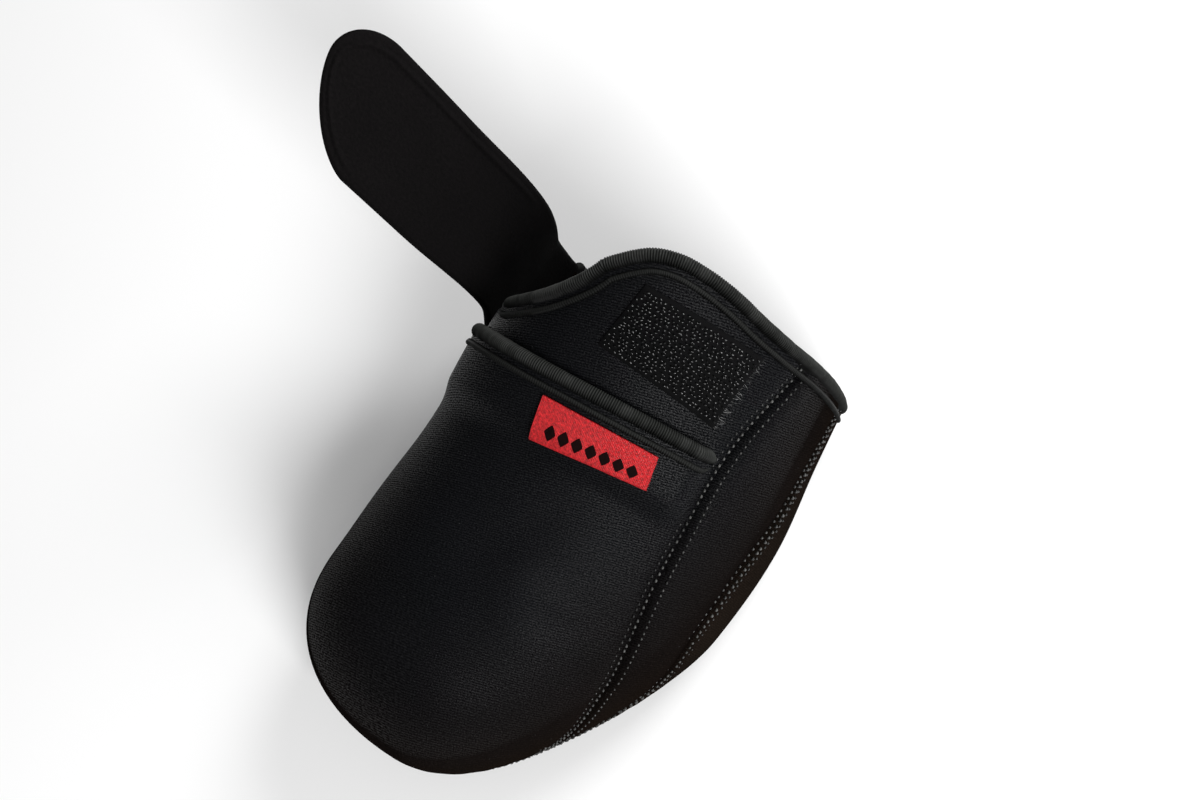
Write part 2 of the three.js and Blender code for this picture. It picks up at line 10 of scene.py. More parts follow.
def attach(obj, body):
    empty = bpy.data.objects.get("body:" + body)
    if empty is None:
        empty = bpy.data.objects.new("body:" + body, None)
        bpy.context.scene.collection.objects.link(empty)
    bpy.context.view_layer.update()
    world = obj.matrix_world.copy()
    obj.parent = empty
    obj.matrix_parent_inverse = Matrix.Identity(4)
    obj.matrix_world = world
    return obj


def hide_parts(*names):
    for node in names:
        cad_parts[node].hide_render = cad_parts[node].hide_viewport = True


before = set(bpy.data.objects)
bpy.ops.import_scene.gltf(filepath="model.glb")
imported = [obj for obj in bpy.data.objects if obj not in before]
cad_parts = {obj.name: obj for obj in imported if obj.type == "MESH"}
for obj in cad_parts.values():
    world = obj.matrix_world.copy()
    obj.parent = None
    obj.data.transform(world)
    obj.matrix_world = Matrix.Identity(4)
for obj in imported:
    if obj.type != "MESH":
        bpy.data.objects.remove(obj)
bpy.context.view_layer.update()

bl_info = {
    "name": "Cycling toe cover",
    "version": (1, 0, 0),
    "blender": (4, 5, 0),
    "location": "3D View > Sidebar > Toe cover",
    "description": "Builds the toe cover's panels, bindings, strap, patch and label round its solids",
    "category": "Add Mesh",
}

MM = 0.001

# The shoe that the cover is cut for, in millimetres, measured inside the cover
REACH = 150
INNER_WIDTH = 95
INSTEP_HEIGHT = 84
SIDE_HEIGHT = 12
NOSE_MEDIAL = 38
NOSE_LATERAL = 70
NOSE_TOP = 30
NOSE_BOTTOM = 16
NOSE_ROUNDS = (2.13, 1.87, 2.1, 2.0)
TOE_SPRING = 8
SPRING_LENGTH = 42
SOLE_SQUARE = 4
WALL = 3.0
LIFT = 3.3
FLOOR_Z = 2.6
ORIGIN_FROM_TIP = 52
TIP_X = -0.116 * INNER_WIDTH
TIP_Z = FLOOR_Z + SIDE_HEIGHT * 1.5

# Sections of the last: place along the foot, half widths, top, widest line, squareness
LAST = np.array([
    [0.000, 0.518, 0.472, 0.536, 1.50, 2.2, 2.1],
    [0.133, 0.480, 0.481, 0.571, 1.25, 2.3, 2.1],
    [0.267, 0.446, 0.524, 0.607, 1.08, 2.4, 2.1],
    [0.467, 0.402, 0.602, 0.667, 1.00, 2.4, 2.1],
    [0.667, 0.366, 0.635, 0.762, 1.00, 2.4, 2.1],
    [0.833, 0.332, 0.615, 0.881, 1.00, 2.3, 2.1],
    [1.000, 0.299, 0.599, 1.000, 1.00, 2.2, 2.1],
    [1.167, 0.266, 0.577, 1.095, 1.00, 2.2, 2.1],
])

# Seam between sole panel and upper: place along the foot, heights on both sides
SOLE_SEAM = np.array([
    [0.00, 1.04, 1.04], [0.27, 0.92, 1.10], [0.32, 0.87, 1.35], [0.37, 0.81, 1.82], [0.44, 0.77, 2.40],
    [0.52, 0.73, 2.54], [0.62, 0.73, 2.56], [0.70, 0.73, 2.32], [0.80, 0.76, 1.98], [0.90, 0.81, 1.62],
    [1.17, 0.83, 1.40],
])

# Seam between the side panel and the panels on top: place along the foot, degrees round
TOP_SEAM = np.array([
    [0.00, -95], [0.06, -75], [0.09, -45], [0.12, -16], [0.16, 0], [0.215, 13.8], [0.269, 24.1],
    [0.313, 29.5], [0.381, 36.8], [0.455, 41.9], [0.521, 43.9], [0.60, 44.8], [0.72, 44.3],
    [0.79, 41.6], [0.85, 38.2], [0.92, 34.0], [1.17, 24.0],
])

# Middles of the two bindings: degrees round, place along the foot
TOE_EDGE = np.array([[40, 0.730], [105, 0.730], [140, 0.735], [165, 0.740], [200, 0.740]])
COLLAR_EDGE = np.array([
    [-165, 0.970], [-90, 0.967], [-40, 0.966], [0, 0.960], [25, 0.957], [40, 0.955], [49, 0.959],
    [58, 0.969], [67, 0.975], [74, 0.974], [81, 0.960], [87, 0.932], [93, 0.897], [101, 0.862],
    [109, 0.835], [118, 0.815], [127, 0.802], [136, 0.797], [160, 0.795],
])

# Corners on the panel that carries them: degrees round, place along the foot
HOOK_CORNERS = {"front": ((51.9, 0.775), (83.8, 0.801)), "rear": ((46.6, 0.915), (79.1, 0.919))}
LABEL_CORNERS = {"front": ((60.6, 0.634), (89.2, 0.612)), "rear": ((61.2, 0.692), (90.3, 0.692))}

# Soft dents and humps, as degrees round, mm from the tip, half sizes along and across, turn, height
SOFT_FORMS = [
    (168, 82, 13, 20, 12, -1.5),
    (97, 34, 9, 30, -12, -0.6),
    (58, 60, 4.5, 14, 15, -0.75),
    (62, 49, 7, 15, 15, 0.7),
    (44, 74, 5, 9, 30, -0.4),
    (150, 60, 26, 12, -10, 0.7),
    (112, 93, 9, 26, 10, -0.7),
    (96, 46, 12, 22, 0, 0.8),
    (70, 52, 16, 9, 35, 0.7),
    (84, 64, 20, 7, -35, -0.7),
    (58, 84, 18, 8, 20, -0.5),
    (20, 62, 22, 9, 8, 0.5),
    (14, 96, 26, 9, -6, -0.4),
    (118, 28, 12, 9, 40, 0.4),
]

BEAD_HALF_WIDTH = 1.95
BEAD_HALF_HEIGHT = 1.95
EDGE_UNDER_BEAD = 1.4        # how far in front of a binding's middle the panel ends inside it
TOE_BEAD_PLACE = 109.5       # middle of the toe panel's binding, from the tip
TUCK = 10                    # how far the instep panel runs in under the toe panel
STEP_AHEAD = 1               # how far in front of it the toe panel's step up ends
STEP_LENGTH = 10             # length of that step up
HALF_GAP = 0.015             # from a seam line to each panel
TOP_SEAM_RADIUS = 47         # from the middle of the last to the top seam
INSTEP_MEDIAL_ROUND = 156
CLEAT_LENGTH = 60
CLEAT_WIDTH = 52
CLEAT_CORNER = 16
CLEAT_MIDDLE_Y = 46
CLEAT_BELOW = 12             # height under which the opening is cut

STRAP_WIDTH = 32
STRAP_LENGTH = 90
STRAP_ROOT = 18
STRAP_WALL = 2.8
STRAP_BEND = 41
STRAP_ANGLE = 51
STRAP_DROOP = 10
STRAP_SWEEP = 0.18
STRAP_FLARE = 0.13
STRAP_FORWARD = 2.2
STRAP_CLEAR = 8
STRAP_LEAVES = (164.7, 4.5)
STRAP_ROOT_ROUND = 188.5
STRAP_FROM_TIP = 114.25
TIP_CREST = 0.66
TIP_DEPTH = (21, 15)
FACING_FROM = 20.5
FACING_INSETS = (1.5, 1.9, 1.7)     # at its front edge, its rear edge and its tip


def ramp(t):
    s = np.clip(t, 0, 1)
    return s * s * (3 - 2 * s)


def mix(a, b, t):
    return a + (b - a) * t


def through(table, column, x):
    """A smooth curve through a table's rows, read off at x."""
    xs, ys = table[:, 0], table[:, column]
    x = np.clip(np.asarray(x, float), xs[0], xs[-1])
    slope = np.gradient(ys, xs)
    i = np.clip(np.searchsorted(xs, x, side="right") - 1, 0, len(xs) - 2)
    h = xs[i + 1] - xs[i]
    s = (x - xs[i]) / h
    return ((1 + 2 * s) * (1 - s) ** 2 * ys[i] + s * (1 - s) ** 2 * h * slope[i]
            + s * s * (3 - 2 * s) * ys[i + 1] + s * s * (s - 1) * h * slope[i + 1])


def nose(from_tip, length, power):
    s = np.clip(1 - from_tip / length, 0, 1)
    return (1 - s ** power) ** (1 / power)


def last_point(rounds, from_tip):
    """Point of the last: degrees round (0 outer side, 90 top, 180 big-toe side), mm from the tip."""
    at = from_tip / REACH
    c, s = np.cos(np.radians(rounds)), np.sin(np.radians(rounds))
    medial, lateral, top, side = (through(LAST, k, at) for k in (1, 2, 3, 4))
    wide_z = SIDE_HEIGHT * side
    half = INNER_WIDTH * np.where(
        c >= 0, lateral * nose(from_tip, NOSE_LATERAL, NOSE_ROUNDS[1]),
        medial * nose(from_tip, NOSE_MEDIAL, NOSE_ROUNDS[0]))
    spring = TOE_SPRING * np.clip(1 - from_tip / SPRING_LENGTH, 0, 1) ** 2
    tall = np.where(
        s >= 0, (INSTEP_HEIGHT * top - wide_z) * nose(from_tip, NOSE_TOP, NOSE_ROUNDS[2]),
        (wide_z - spring) * nose(from_tip, NOSE_BOTTOM, NOSE_ROUNDS[3]))
    upper = np.where(c >= 0, through(LAST, 6, at), through(LAST, 5, at))
    square = np.where(s >= 0, upper, SOLE_SQUARE)
    r = (np.abs(c) ** square + np.abs(s) ** square) ** (-1 / square)
    return np.stack([TIP_X + half * r * c, from_tip - ORIGIN_FROM_TIP + 0 * r,
                     FLOOR_Z + wide_z + tall * r * s], -1)


def unit(v):
    return v / (np.linalg.norm(v, axis=-1, keepdims=True) + 1e-12)


def last_normal(rounds, from_tip):
    a = np.maximum(from_tip, 0.02)
    across = last_point(rounds + 0.4, a) - last_point(rounds - 0.4, a)
    along = last_point(rounds, a + 0.01) - last_point(rounds, a - 0.01)
    return unit(np.cross(along, across))


def off_last(rounds, from_tip, off):
    """Point at a height off the last; the tip itself is one point."""
    rounds, from_tip, off = np.broadcast_arrays(*(np.asarray(v, float) for v in (rounds, from_tip, off)))
    p = last_point(rounds, np.maximum(from_tip, 0.02)) + last_normal(rounds, from_tip) * off[..., None]
    tip = np.stack([TIP_X + 0 * off, -ORIGIN_FROM_TIP - off, TIP_Z + 0 * off], -1)
    return np.where((from_tip < 0.01)[..., None], tip, p)


def top_seam(from_tip):
    return through(TOP_SEAM, 1, from_tip / REACH)


def toe_edge(rounds):
    return REACH * through(TOE_EDGE, 1, rounds)


def collar_edge(rounds):
    return REACH * through(COLLAR_EDGE, 1, rounds)


RAMP_START = TOE_BEAD_PLACE - BEAD_HALF_WIDTH - TUCK - STEP_AHEAD - STEP_LENGTH


def lift(rounds, from_tip):
    """How far the toe panel is lifted by the instep panel that lies under its edge."""
    return LIFT * ramp((from_tip - RAMP_START) / STEP_LENGTH) * ramp((rounds - 46) / 8) * ramp((152 - rounds) / 20)


def sole_seam_z(x, from_tip):
    medial, lateral = (through(SOLE_SEAM, k, from_tip / REACH) for k in (1, 2))
    return FLOOR_Z + SIDE_HEIGHT * mix(medial, lateral, (x + 57) / 114)


def above_sole_seam(rounds, from_tip):
    p = off_last(rounds, from_tip, WALL)
    return p[..., 2] - sole_seam_z(p[..., 0], from_tip)


def lengths(points):
    """Distance run along a line of points."""
    return np.concatenate([[0], np.cumsum(np.linalg.norm(np.diff(points, axis=0), axis=1))])


def even_rounds(first, last, pitch, from_tip):
    """Degrees round the section that are evenly spaced over its surface."""
    dense = np.linspace(first, last, 1500)
    run = lengths(last_point(dense, np.full(dense.shape, float(from_tip))))
    count = max(2, round(run[-1] / pitch))
    return np.interp(np.linspace(0, run[-1], count + 1), run, dense)


def rows_from_tip(pitch, end):
    """Rows along the foot, close together round the toe."""
    turn = np.linspace(0, math.pi / 2, round(60 / pitch))
    rest = np.linspace(NOSE_MEDIAL, end, round((end - NOSE_MEDIAL) / pitch) + 1)[1:]
    return np.concatenate([NOSE_MEDIAL * (1 - np.cos(turn)), rest])


def grid(rounds, rows):
    """A sheet of triangles over all rounds and rows, as its spots and its triangles."""
    q, a = np.meshgrid(rounds, rows)
    n = len(rounds)
    i = (np.arange(len(rows) - 1)[:, None] * n + np.arange(n - 1)).ravel()
    tris = np.concatenate([np.stack([i, i + 1, i + n + 1], 1), np.stack([i, i + n + 1, i + n], 1)])
    return np.stack([q.ravel(), a.ravel()], 1), tris


def clip(spots, tris, field):
    """The part of a sheet where the field is above nought, cut straight across its triangles."""
    inside = field > 0
    count = inside[tris].sum(1)
    mixed = tris[(count == 1) | (count == 2)]
    lone_in = inside[mixed].sum(1) == 1
    first = (inside[mixed] == lone_in[:, None]).argmax(1)
    t = np.take_along_axis(mixed, (first[:, None] + np.arange(3)) % 3, 1)
    pairs, back = np.unique(np.sort(np.concatenate([t[:, [0, 1]], t[:, [0, 2]]]), 1),
                            axis=0, return_inverse=True)
    back = back.ravel()
    f0, f1 = field[pairs[:, 0]], field[pairs[:, 1]]
    share = np.clip(f0 / (f0 - f1 + 1e-12), 0.03, 0.97)[:, None]
    cut = mix(spots[pairs[:, 0]], spots[pairs[:, 1]], share)
    ab, ac = len(spots) + back[:len(t)], len(spots) + back[len(t):]
    one, two = lone_in, ~lone_in
    tris = np.concatenate([
        tris[count == 3],
        np.stack([t[one, 0], ab[one], ac[one]], 1),
        np.stack([ab[two], t[two, 1], t[two, 2]], 1),
        np.stack([ab[two], t[two, 2], ac[two]], 1),
    ])
    used, tris = np.unique(tris, return_inverse=True)
    return np.concatenate([spots, cut])[used], tris.reshape(-1, 3)


def weld(spots, tris):
    """Joins spots that lie at one place, such as both ends of a round."""
    key = np.round(off_last(spots[:, 0], spots[:, 1], WALL) * 500 + 0.137).astype(np.int64)
    _, first, back = np.unique(key, axis=0, return_index=True, return_inverse=True)
    tris = back.ravel()[tris]
    whole = (tris[:, 0] != tris[:, 1]) & (tris[:, 1] != tris[:, 2]) & (tris[:, 2] != tris[:, 0])
    return spots[first], tris[whole]


def shell(tris, inner, outer):
    """A closed body between two matching sheets, as its points and its faces."""
    n = len(inner)
    edges = np.concatenate([tris[:, [0, 1]], tris[:, [1, 2]], tris[:, [2, 0]]])
    _, back, count = np.unique(np.sort(edges, 1), axis=0, return_inverse=True, return_counts=True)
    e = edges[count[back.ravel()] == 1]
    walls = np.stack([e[:, 1], e[:, 0], e[:, 0] + n, e[:, 1] + n], 1)
    return np.concatenate([outer, inner]), [tris, tris[:, ::-1] + n, walls]


def volume(points, faces):
    total = 0.0
    for f in faces:
        for k in range(1, f.shape[1] - 1):
            a, b, c = points[f[:, 0]], points[f[:, k]], points[f[:, k + 1]]
            total += (a * np.cross(b, c)).sum()
    return total


def ring_faces(count, sides):
    """Faces of a closed tube whose points run ring by ring and end with its two end points."""
    i = np.arange(sides)
    j = (i + 1) % sides
    rows = (np.arange(count - 1) * sides)[:, None]
    last, end = (count - 1) * sides, count * sides
    return [np.stack([rows + i, rows + j, rows + j + sides, rows + i + sides], -1).reshape(-1, 4),
            np.stack([j, i, np.full(sides, end)], 1),
            np.stack([last + i, last + j, np.full(sides, end + 1)], 1)]


def tube(path, radius, sides, up=(0.31, 0.52, 0.79), bright=0.0):
    """A round thread along a path, as its points, its faces and how bright each point is."""
    path = np.asarray(path, float)
    run = unit(np.gradient(path, axis=0))
    side = unit(np.cross(run, up))
    rise = np.cross(side, run)
    turn = np.linspace(0, 2 * math.pi, sides, endpoint=False)
    radius = np.broadcast_to(radius, len(path))[:, None, None]
    ring = np.cos(turn)[None, :, None] * side[:, None] + np.sin(turn)[None, :, None] * rise[:, None]
    points = np.concatenate([(path[:, None] + radius * ring).reshape(-1, 3), path[:1], path[-1:]])
    level = np.broadcast_to(bright, len(path))
    return points, ring_faces(len(path), sides), np.concatenate([np.repeat(level, sides), level[:1], level[-1:]])


def joined(parts):
    """Several bodies as one: its points, its faces and how bright each point is."""
    faces, start = {3: [], 4: []}, 0
    for points, part, _ in parts:
        for f in part:
            faces[f.shape[1]].append(f + start)
        start += len(points)
    points, levels = (np.concatenate([part[k] for part in parts]) for k in (0, 2))
    return points, [np.concatenate(f) for f in faces.values() if f], levels


def add_piece(name, points, faces, material, slot, nodes=(), cloth=None, painted_light_and_tone=None, sharp=60):
    """Puts a closed body, given in millimetres, into the scene as a named piece."""
    if volume(points, faces) < 0:
        faces = [f[:, ::-1] for f in faces]
    corner = np.concatenate([f.ravel() for f in faces])
    sizes = np.concatenate([np.full(len(f), f.shape[1]) for f in faces])
    mesh = bpy.data.meshes.new(name)
    mesh.vertices.add(len(points))
    mesh.loops.add(len(corner))
    mesh.polygons.add(len(sizes))
    mesh.vertices.foreach_set("co", (points * MM).astype(np.float32).ravel())
    mesh.loops.foreach_set("vertex_index", corner.astype(np.int32))
    mesh.polygons.foreach_set("loop_start", np.concatenate([[0], np.cumsum(sizes)[:-1]]).astype(np.int32))
    mesh.polygons.foreach_set("use_smooth", np.ones(len(sizes), bool))
    mesh.update(calc_edges=True)
    if mesh.validate():
        raise RuntimeError(f"{name} has faulty faces")
    mesh.set_sharp_from_angle(angle=math.radians(sharp))
    flat = points if cloth is None else cloth
    mesh.attributes.new("cloth", "FLOAT_VECTOR", "POINT").data.foreach_set(
        "vector", np.asarray(flat, np.float32).ravel())
    # how light each point is painted, kept as a point attribute: painted light and shade on most pieces, tone on a
    # few
    light_and_tone_level = np.zeros(len(points)) if painted_light_and_tone is None else painted_light_and_tone
    mesh.attributes.new("painted_light_and_tone", "FLOAT", "POINT").data.foreach_set("value", np.asarray(light_and_tone_level, np.float32))
    mesh.materials.append(material)
    piece = bpy.data.objects.new(name, mesh)
    bpy.context.scene.collection.objects.link(piece)
    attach(piece, "root")
    if nodes:
        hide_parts(*nodes)
    return piece


# Seam lines

def bisect(field, low, high):
    """Where the field, which is above nought at low, falls through it."""
    low, high = (np.array(v, float) for v in np.broadcast_arrays(low, high))
    for _ in range(40):
        middle = (low + high) / 2
        above = field(middle) > 0
        low, high = np.where(above, middle, low), np.where(above, high, middle)
    return (low + high) / 2


def respaced(spots, pitch, off):
    """The same line of spots, evenly spaced over the surface."""
    run = lengths(off_last(spots[:, 0], spots[:, 1], off))
    places = np.linspace(0, run[-1], max(2, round(run[-1] / pitch)) + 1)
    return np.stack([np.interp(places, run, spots[:, k]) for k in (0, 1)], 1), places


def sole_seam_line(end):
    """The seam round the toe, from the outer side's end to the big-toe side's end."""
    q = np.linspace(-30, -150, 200)
    a = bisect(lambda v: above_sole_seam(q, v), np.full(q.shape, 0.02), np.full(q.shape, 34.0))
    outer_a = np.linspace(end, a[0], 260)[:-1]
    outer_q = bisect(lambda v: above_sole_seam(v, outer_a), np.full(outer_a.shape, 60.0), -85.0)
    inner_a = np.linspace(a[-1], end, 260)[1:]
    inner_q = bisect(lambda v: above_sole_seam(v, inner_a), np.full(inner_a.shape, 130.0), 262.0)
    return np.concatenate([np.stack([outer_q, outer_a], 1), np.stack([q, a], 1),
                           np.stack([inner_q - 360, inner_a], 1)])


def top_seam_line(end):
    a = np.linspace(13, end, 500)
    spots = np.stack([top_seam(a), a], 1)
    return spots[above_sole_seam(spots[:, 0], spots[:, 1]) > 0]


def beside(spots, shift, off):
    """Points beside a line of spots, that many millimetres to the side over the surface."""
    q, a = spots[:, 0], spots[:, 1]
    mm_q = np.linalg.norm(off_last(q + 0.3, a, WALL) - off_last(q - 0.3, a, WALL), axis=1) / 0.6
    mm_a = np.linalg.norm(off_last(q, a + 0.1, WALL) - off_last(q, np.maximum(a - 0.1, 0.02), WALL), axis=1) / 0.2
    run = unit(np.gradient(spots, axis=0) * np.stack([mm_q, mm_a], 1))
    return off_last(q - run[:, 1] * shift / mm_q, np.maximum(a + run[:, 0] * shift / mm_a, 0.02), off)


class Seams:
    """The two seam lines, and how far any point lies from them."""

    def __init__(self):
        self.sole, self.sole_run = respaced(sole_seam_line(146.5), 0.4, WALL)
        self.top, self.top_run = respaced(top_seam_line(144.5), 0.4, WALL)
        lines = [off_last(s[:, 0], s[:, 1], WALL) for s in (self.sole, self.top)]
        points = np.concatenate(lines)
        self.run = np.concatenate([self.sole_run, 500 + self.top_run])
        self.tree = kdtree.KDTree(len(points))
        for i, p in enumerate(points):
            self.tree.insert(Vector(p), i)
        self.tree.balance()

    def near(self, points):
        """Distance to the nearest seam, and the place along it."""
        found = [self.tree.find(Vector(p)) for p in points]
        return np.array([f[2] for f in found]), self.run[[f[1] for f in found]]


def seam_relief(distance, run, depth):
    """A narrow groove at the seam in a wider soft trough, with small puckers beside it."""
    trough = -depth * np.exp(-(distance / 0.8) ** 2) - 0.55 * depth * np.exp(-(distance / 2.8) ** 2)
    swell = 0.22 * np.exp(-((distance - 5.5) / 2.5) ** 2)
    pucker = np.sin(run * 0.93 + 1.4 * np.sin(run * 0.21)) * np.exp(-((distance - 3.6) / 2.6) ** 2)
    return trough + swell + 0.1 * pucker


def soft_relief(rounds, from_tip):
    """The listed dents and humps."""
    total = np.zeros(np.shape(rounds))
    here = off_last(rounds, from_tip, WALL)
    for q0, a0, along, across, turn, height in SOFT_FORMS:
        q, a = np.array([float(q0)]), np.array([float(a0)])
        middle = off_last(q, a, WALL)[0]
        side = unit(off_last(q + 1, a, WALL) - off_last(q - 1, a, WALL))[0]
        length = unit(off_last(q, a + 1, WALL) - off_last(q, a - 1, WALL))[0]
        c, s = math.cos(math.radians(turn)), math.sin(math.radians(turn))
        gap = here - middle
        u, v = gap @ side, gap @ length
        out = gap @ np.cross(side, length)
        total += height * np.exp(-((c * v + s * u) / along) ** 2 - ((c * u - s * v) / across) ** 2
                                 - (out / (along + across)) ** 2)
    return total


def cloth_of(rounds, from_tip):
    """Place on the flat cloth in millimetres: across from the middle of the top, and along."""
    dense = np.linspace(-210, 400, 1200)
    run = lengths(last_point(dense, np.full(dense.shape, 80.0)))
    across = np.interp(rounds, dense, run) - np.interp(90, dense, run)
    narrow = np.clip(from_tip / 60, 0, 1) ** 0.5
    return np.stack([across * narrow, from_tip + 0 * across, 0 * across], -1)


def cut_sheet(rounds, rows, *fields):
    """A sheet of spots over all rounds and rows, clipped by each field in turn."""
    spots, tris = grid(rounds, rows)
    for field in fields:
        spots, tris = clip(spots, tris, field(*spots.T))
    return weld(spots, tris)


def foam_panel(name, sheet, depth, material, slot, node, low=None):
    """A sheet of foam over the last, from a cut sheet of spots, lifted off the last by low."""
    (q, a), tris = sheet[0].T, sheet[1]
    base = low(q, a) if low else 0 * a
    distance, run = seams().near(off_last(q, a, base + WALL))
    soft = soft_relief(q, a)
    outer = off_last(q, a, base + WALL + seam_relief(distance, run, depth) + soft)
    inner = off_last(q, a, base + 0.6 * soft)
    outer[:, 2] = np.maximum(outer[:, 2], 0)
    points, faces = shell(tris, inner, outer)
    # darker along the seams, and painted shade near the collar binding
    painted_collar_shade = ramp((a - collar_edge(np.minimum(q, 140)) + 32) / 28) * ramp((140 - q) / 12)
    painted_light_and_tone = np.maximum(np.exp(-(distance / 2.2) ** 2), 0.25 * painted_collar_shade)
    return add_piece(name, points, faces, material, slot, [node], np.tile(cloth_of(q, a), (2, 1)), np.tile(painted_light_and_tone, 2))


def add_joined(name, parts, material, slot):
    """One piece from several bodies, with how bright each point is painted kept as painted light and tone."""
    points, faces, bright = joined(parts)
    return add_piece(name, points, faces, material, slot, painted_light_and_tone=bright)


# Materials

class Nodes:
    """A shader node tree, with short ways to fill it."""

    def __init__(self, tree):
        self.tree = tree

    def feed(self, socket, value):
        """Links an output to an input, or sets the input to a number or a colour."""
        if isinstance(value, bpy.types.NodeSocket):
            self.tree.links.new(value, socket)
        else:
            socket.default_value = value

    def add(self, kind, inputs, **settings):
        """The outputs of a new node with these settings and inputs."""
        node = self.tree.nodes.new("ShaderNode" + kind)
        for label, value in settings.items():
            setattr(node, label, value)
        for label, value in inputs.items():
            self.feed(node.inputs[label], value)
        return node.outputs

    def calc(self, operation, *values):
        return self.add("Math", dict(enumerate(values)), operation=operation)[0]

    def product(self, value, *others):
        for other in others:
            value = self.calc("MULTIPLY", value, other)
        return value

    def total(self, value, *others):
        for other in others:
            value = self.calc("ADD", value, other)
        return value

    def span(self, value, low, high, to_low, to_high):
        return self.add("MapRange", {"Value": value, "From Min": low, "From Max": high,
                                     "To Min": to_low, "To Max": to_high})[0]

    def noise(self, place, scale, detail=2.0, roughness=0.5):
        return self.add("TexNoise", {"Vector": place, "Scale": scale, "Detail": detail,
                                     "Roughness": roughness})["Fac"]

    def parts(self, vector):
        return self.add("SeparateXYZ", {0: vector})

    def attribute(self, label, output):
        return self.add("Attribute", {}, attribute_name=label)[output]

    def tinted(self, colour, value):
        """A colour times a value."""
        return self.add("VectorMath", {0: colour, "Scale": value}, operation="SCALE")[0]

    def blended(self, share, a, b):
        return self.add("Mix", {"Factor": share, "A": a, "B": b}, data_type="RGBA")["Result"]


def shader_group(name, numbers, outputs):
    """A new node group that takes a place on the cloth and numbers, as its nodes, its inputs and its end."""
    tree = bpy.data.node_groups.new(name, "ShaderNodeTree")
    tree.interface.new_socket("Cloth", in_out="INPUT", socket_type="NodeSocketVector")
    for label, value in numbers.items():
        tree.interface.new_socket(label, in_out="INPUT", socket_type="NodeSocketFloat").default_value = value
    for label in outputs:
        tree.interface.new_socket(label, in_out="OUTPUT", socket_type="NodeSocketFloat")
    start, end = tree.nodes.new("NodeGroupInput"), tree.nodes.new("NodeGroupOutput")
    return Nodes(tree), start.outputs, end.inputs


def fine_knit_group():
    """Slanting ribs of a fine knit, in cloth millimetres, with flecks of painted glint along the ribs."""
    nodes, given, end = shader_group("fine_knit", {"Pitch": 0.62, "Turn": 0.2}, ("Height", "Glint"))
    place = nodes.add("VectorRotate", {"Vector": given["Cloth"], "Angle": given["Turn"]}, rotation_type="Z_AXIS")[0]
    xyz = nodes.parts(place)
    turns = nodes.calc("DIVIDE", 2 * math.pi, given["Pitch"])
    wander = nodes.product(nodes.noise(place, 0.35), 5.0)
    rib = nodes.calc("SINE", nodes.total(nodes.product(xyz["Y"], turns), wander))
    stitch = nodes.calc("SINE", nodes.total(nodes.product(xyz["X"], turns, 0.72), rib))
    rough = nodes.noise(place, 2.3, 3.0, 0.75)
    nodes.feed(end["Height"], nodes.total(nodes.product(rib, 0.065), nodes.product(stitch, 0.02), rough))
    # painted glints: bright flecks that the knit material adds to its colour
    glint = nodes.span(nodes.noise(place, 1.7, 2.0, 0.7), 0.54, 0.70, 0.0, 1.0)
    nodes.feed(end["Glint"], nodes.product(glint, nodes.span(rib, -0.6, 1.0, 0.6, 1.0)))
    return nodes.tree


def cloth_tone_group():
    """Slow changes of tone over cloth, and a few specks of lint."""
    nodes, given, end = shader_group("cloth_tone", {"Depth": 0.2, "Lint": 0.5}, ("Tone", "Specks"))
    place = given["Cloth"]
    both = nodes.total(nodes.product(nodes.noise(place, 0.045, 3.0), 1.3),
                       nodes.product(nodes.noise(place, 0.6, 3.0, 0.6), 0.7))
    shift = nodes.product(nodes.calc("SUBTRACT", both, 1.0), given["Depth"])
    nodes.feed(end["Tone"], nodes.total(shift, 1.0))
    specks = nodes.span(nodes.noise(place, 1.35, 1.0), 0.775, 0.80, 0.0, 1.0)
    nodes.feed(end["Specks"], nodes.product(specks, given["Lint"]))
    return nodes.tree


def yarn_group():
    """Fine yarn across ribs or in pile: streaks along one direction."""
    nodes, given, end = shader_group("yarn", {"Stretch": 6.0, "Scale": 2.0}, ("Height", "Tone"))
    xyz = nodes.parts(given["Cloth"])
    place = nodes.add("CombineXYZ", {"X": nodes.product(xyz["X"], given["Stretch"]), "Y": xyz["Y"], "Z": xyz["Z"]})[0]
    streaks = nodes.noise(place, given["Scale"], 3.0, 0.65)
    nodes.feed(end["Height"], streaks)
    nodes.feed(end["Tone"], nodes.span(streaks, 0.3, 0.7, 0.6, 1.45))
    return nodes.tree


def satin_weave_group():
    """Satin with a diagonal twill, in cloth millimetres."""
    nodes, given, end = shader_group("satin_weave", {"Pitch": 0.42}, ("Height", "Tone"))
    xyz = nodes.parts(given["Cloth"])
    turns = nodes.calc("DIVIDE", 2 * math.pi, given["Pitch"])
    warp = nodes.calc("SINE", nodes.product(xyz["X"], turns))
    twill = nodes.calc("SINE", nodes.product(nodes.total(xyz["X"], nodes.product(xyz["Y"], 1.6)), turns))
    fine = nodes.noise(given["Cloth"], 1.3, 3.0, 0.7)
    nodes.feed(end["Height"], nodes.total(nodes.product(warp, 0.25), nodes.product(twill, 0.25), fine))
    nodes.feed(end["Tone"], nodes.total(nodes.product(twill, 0.1), nodes.span(fine, 0.3, 0.7, 0.4, 1.75)))
    return nodes.tree


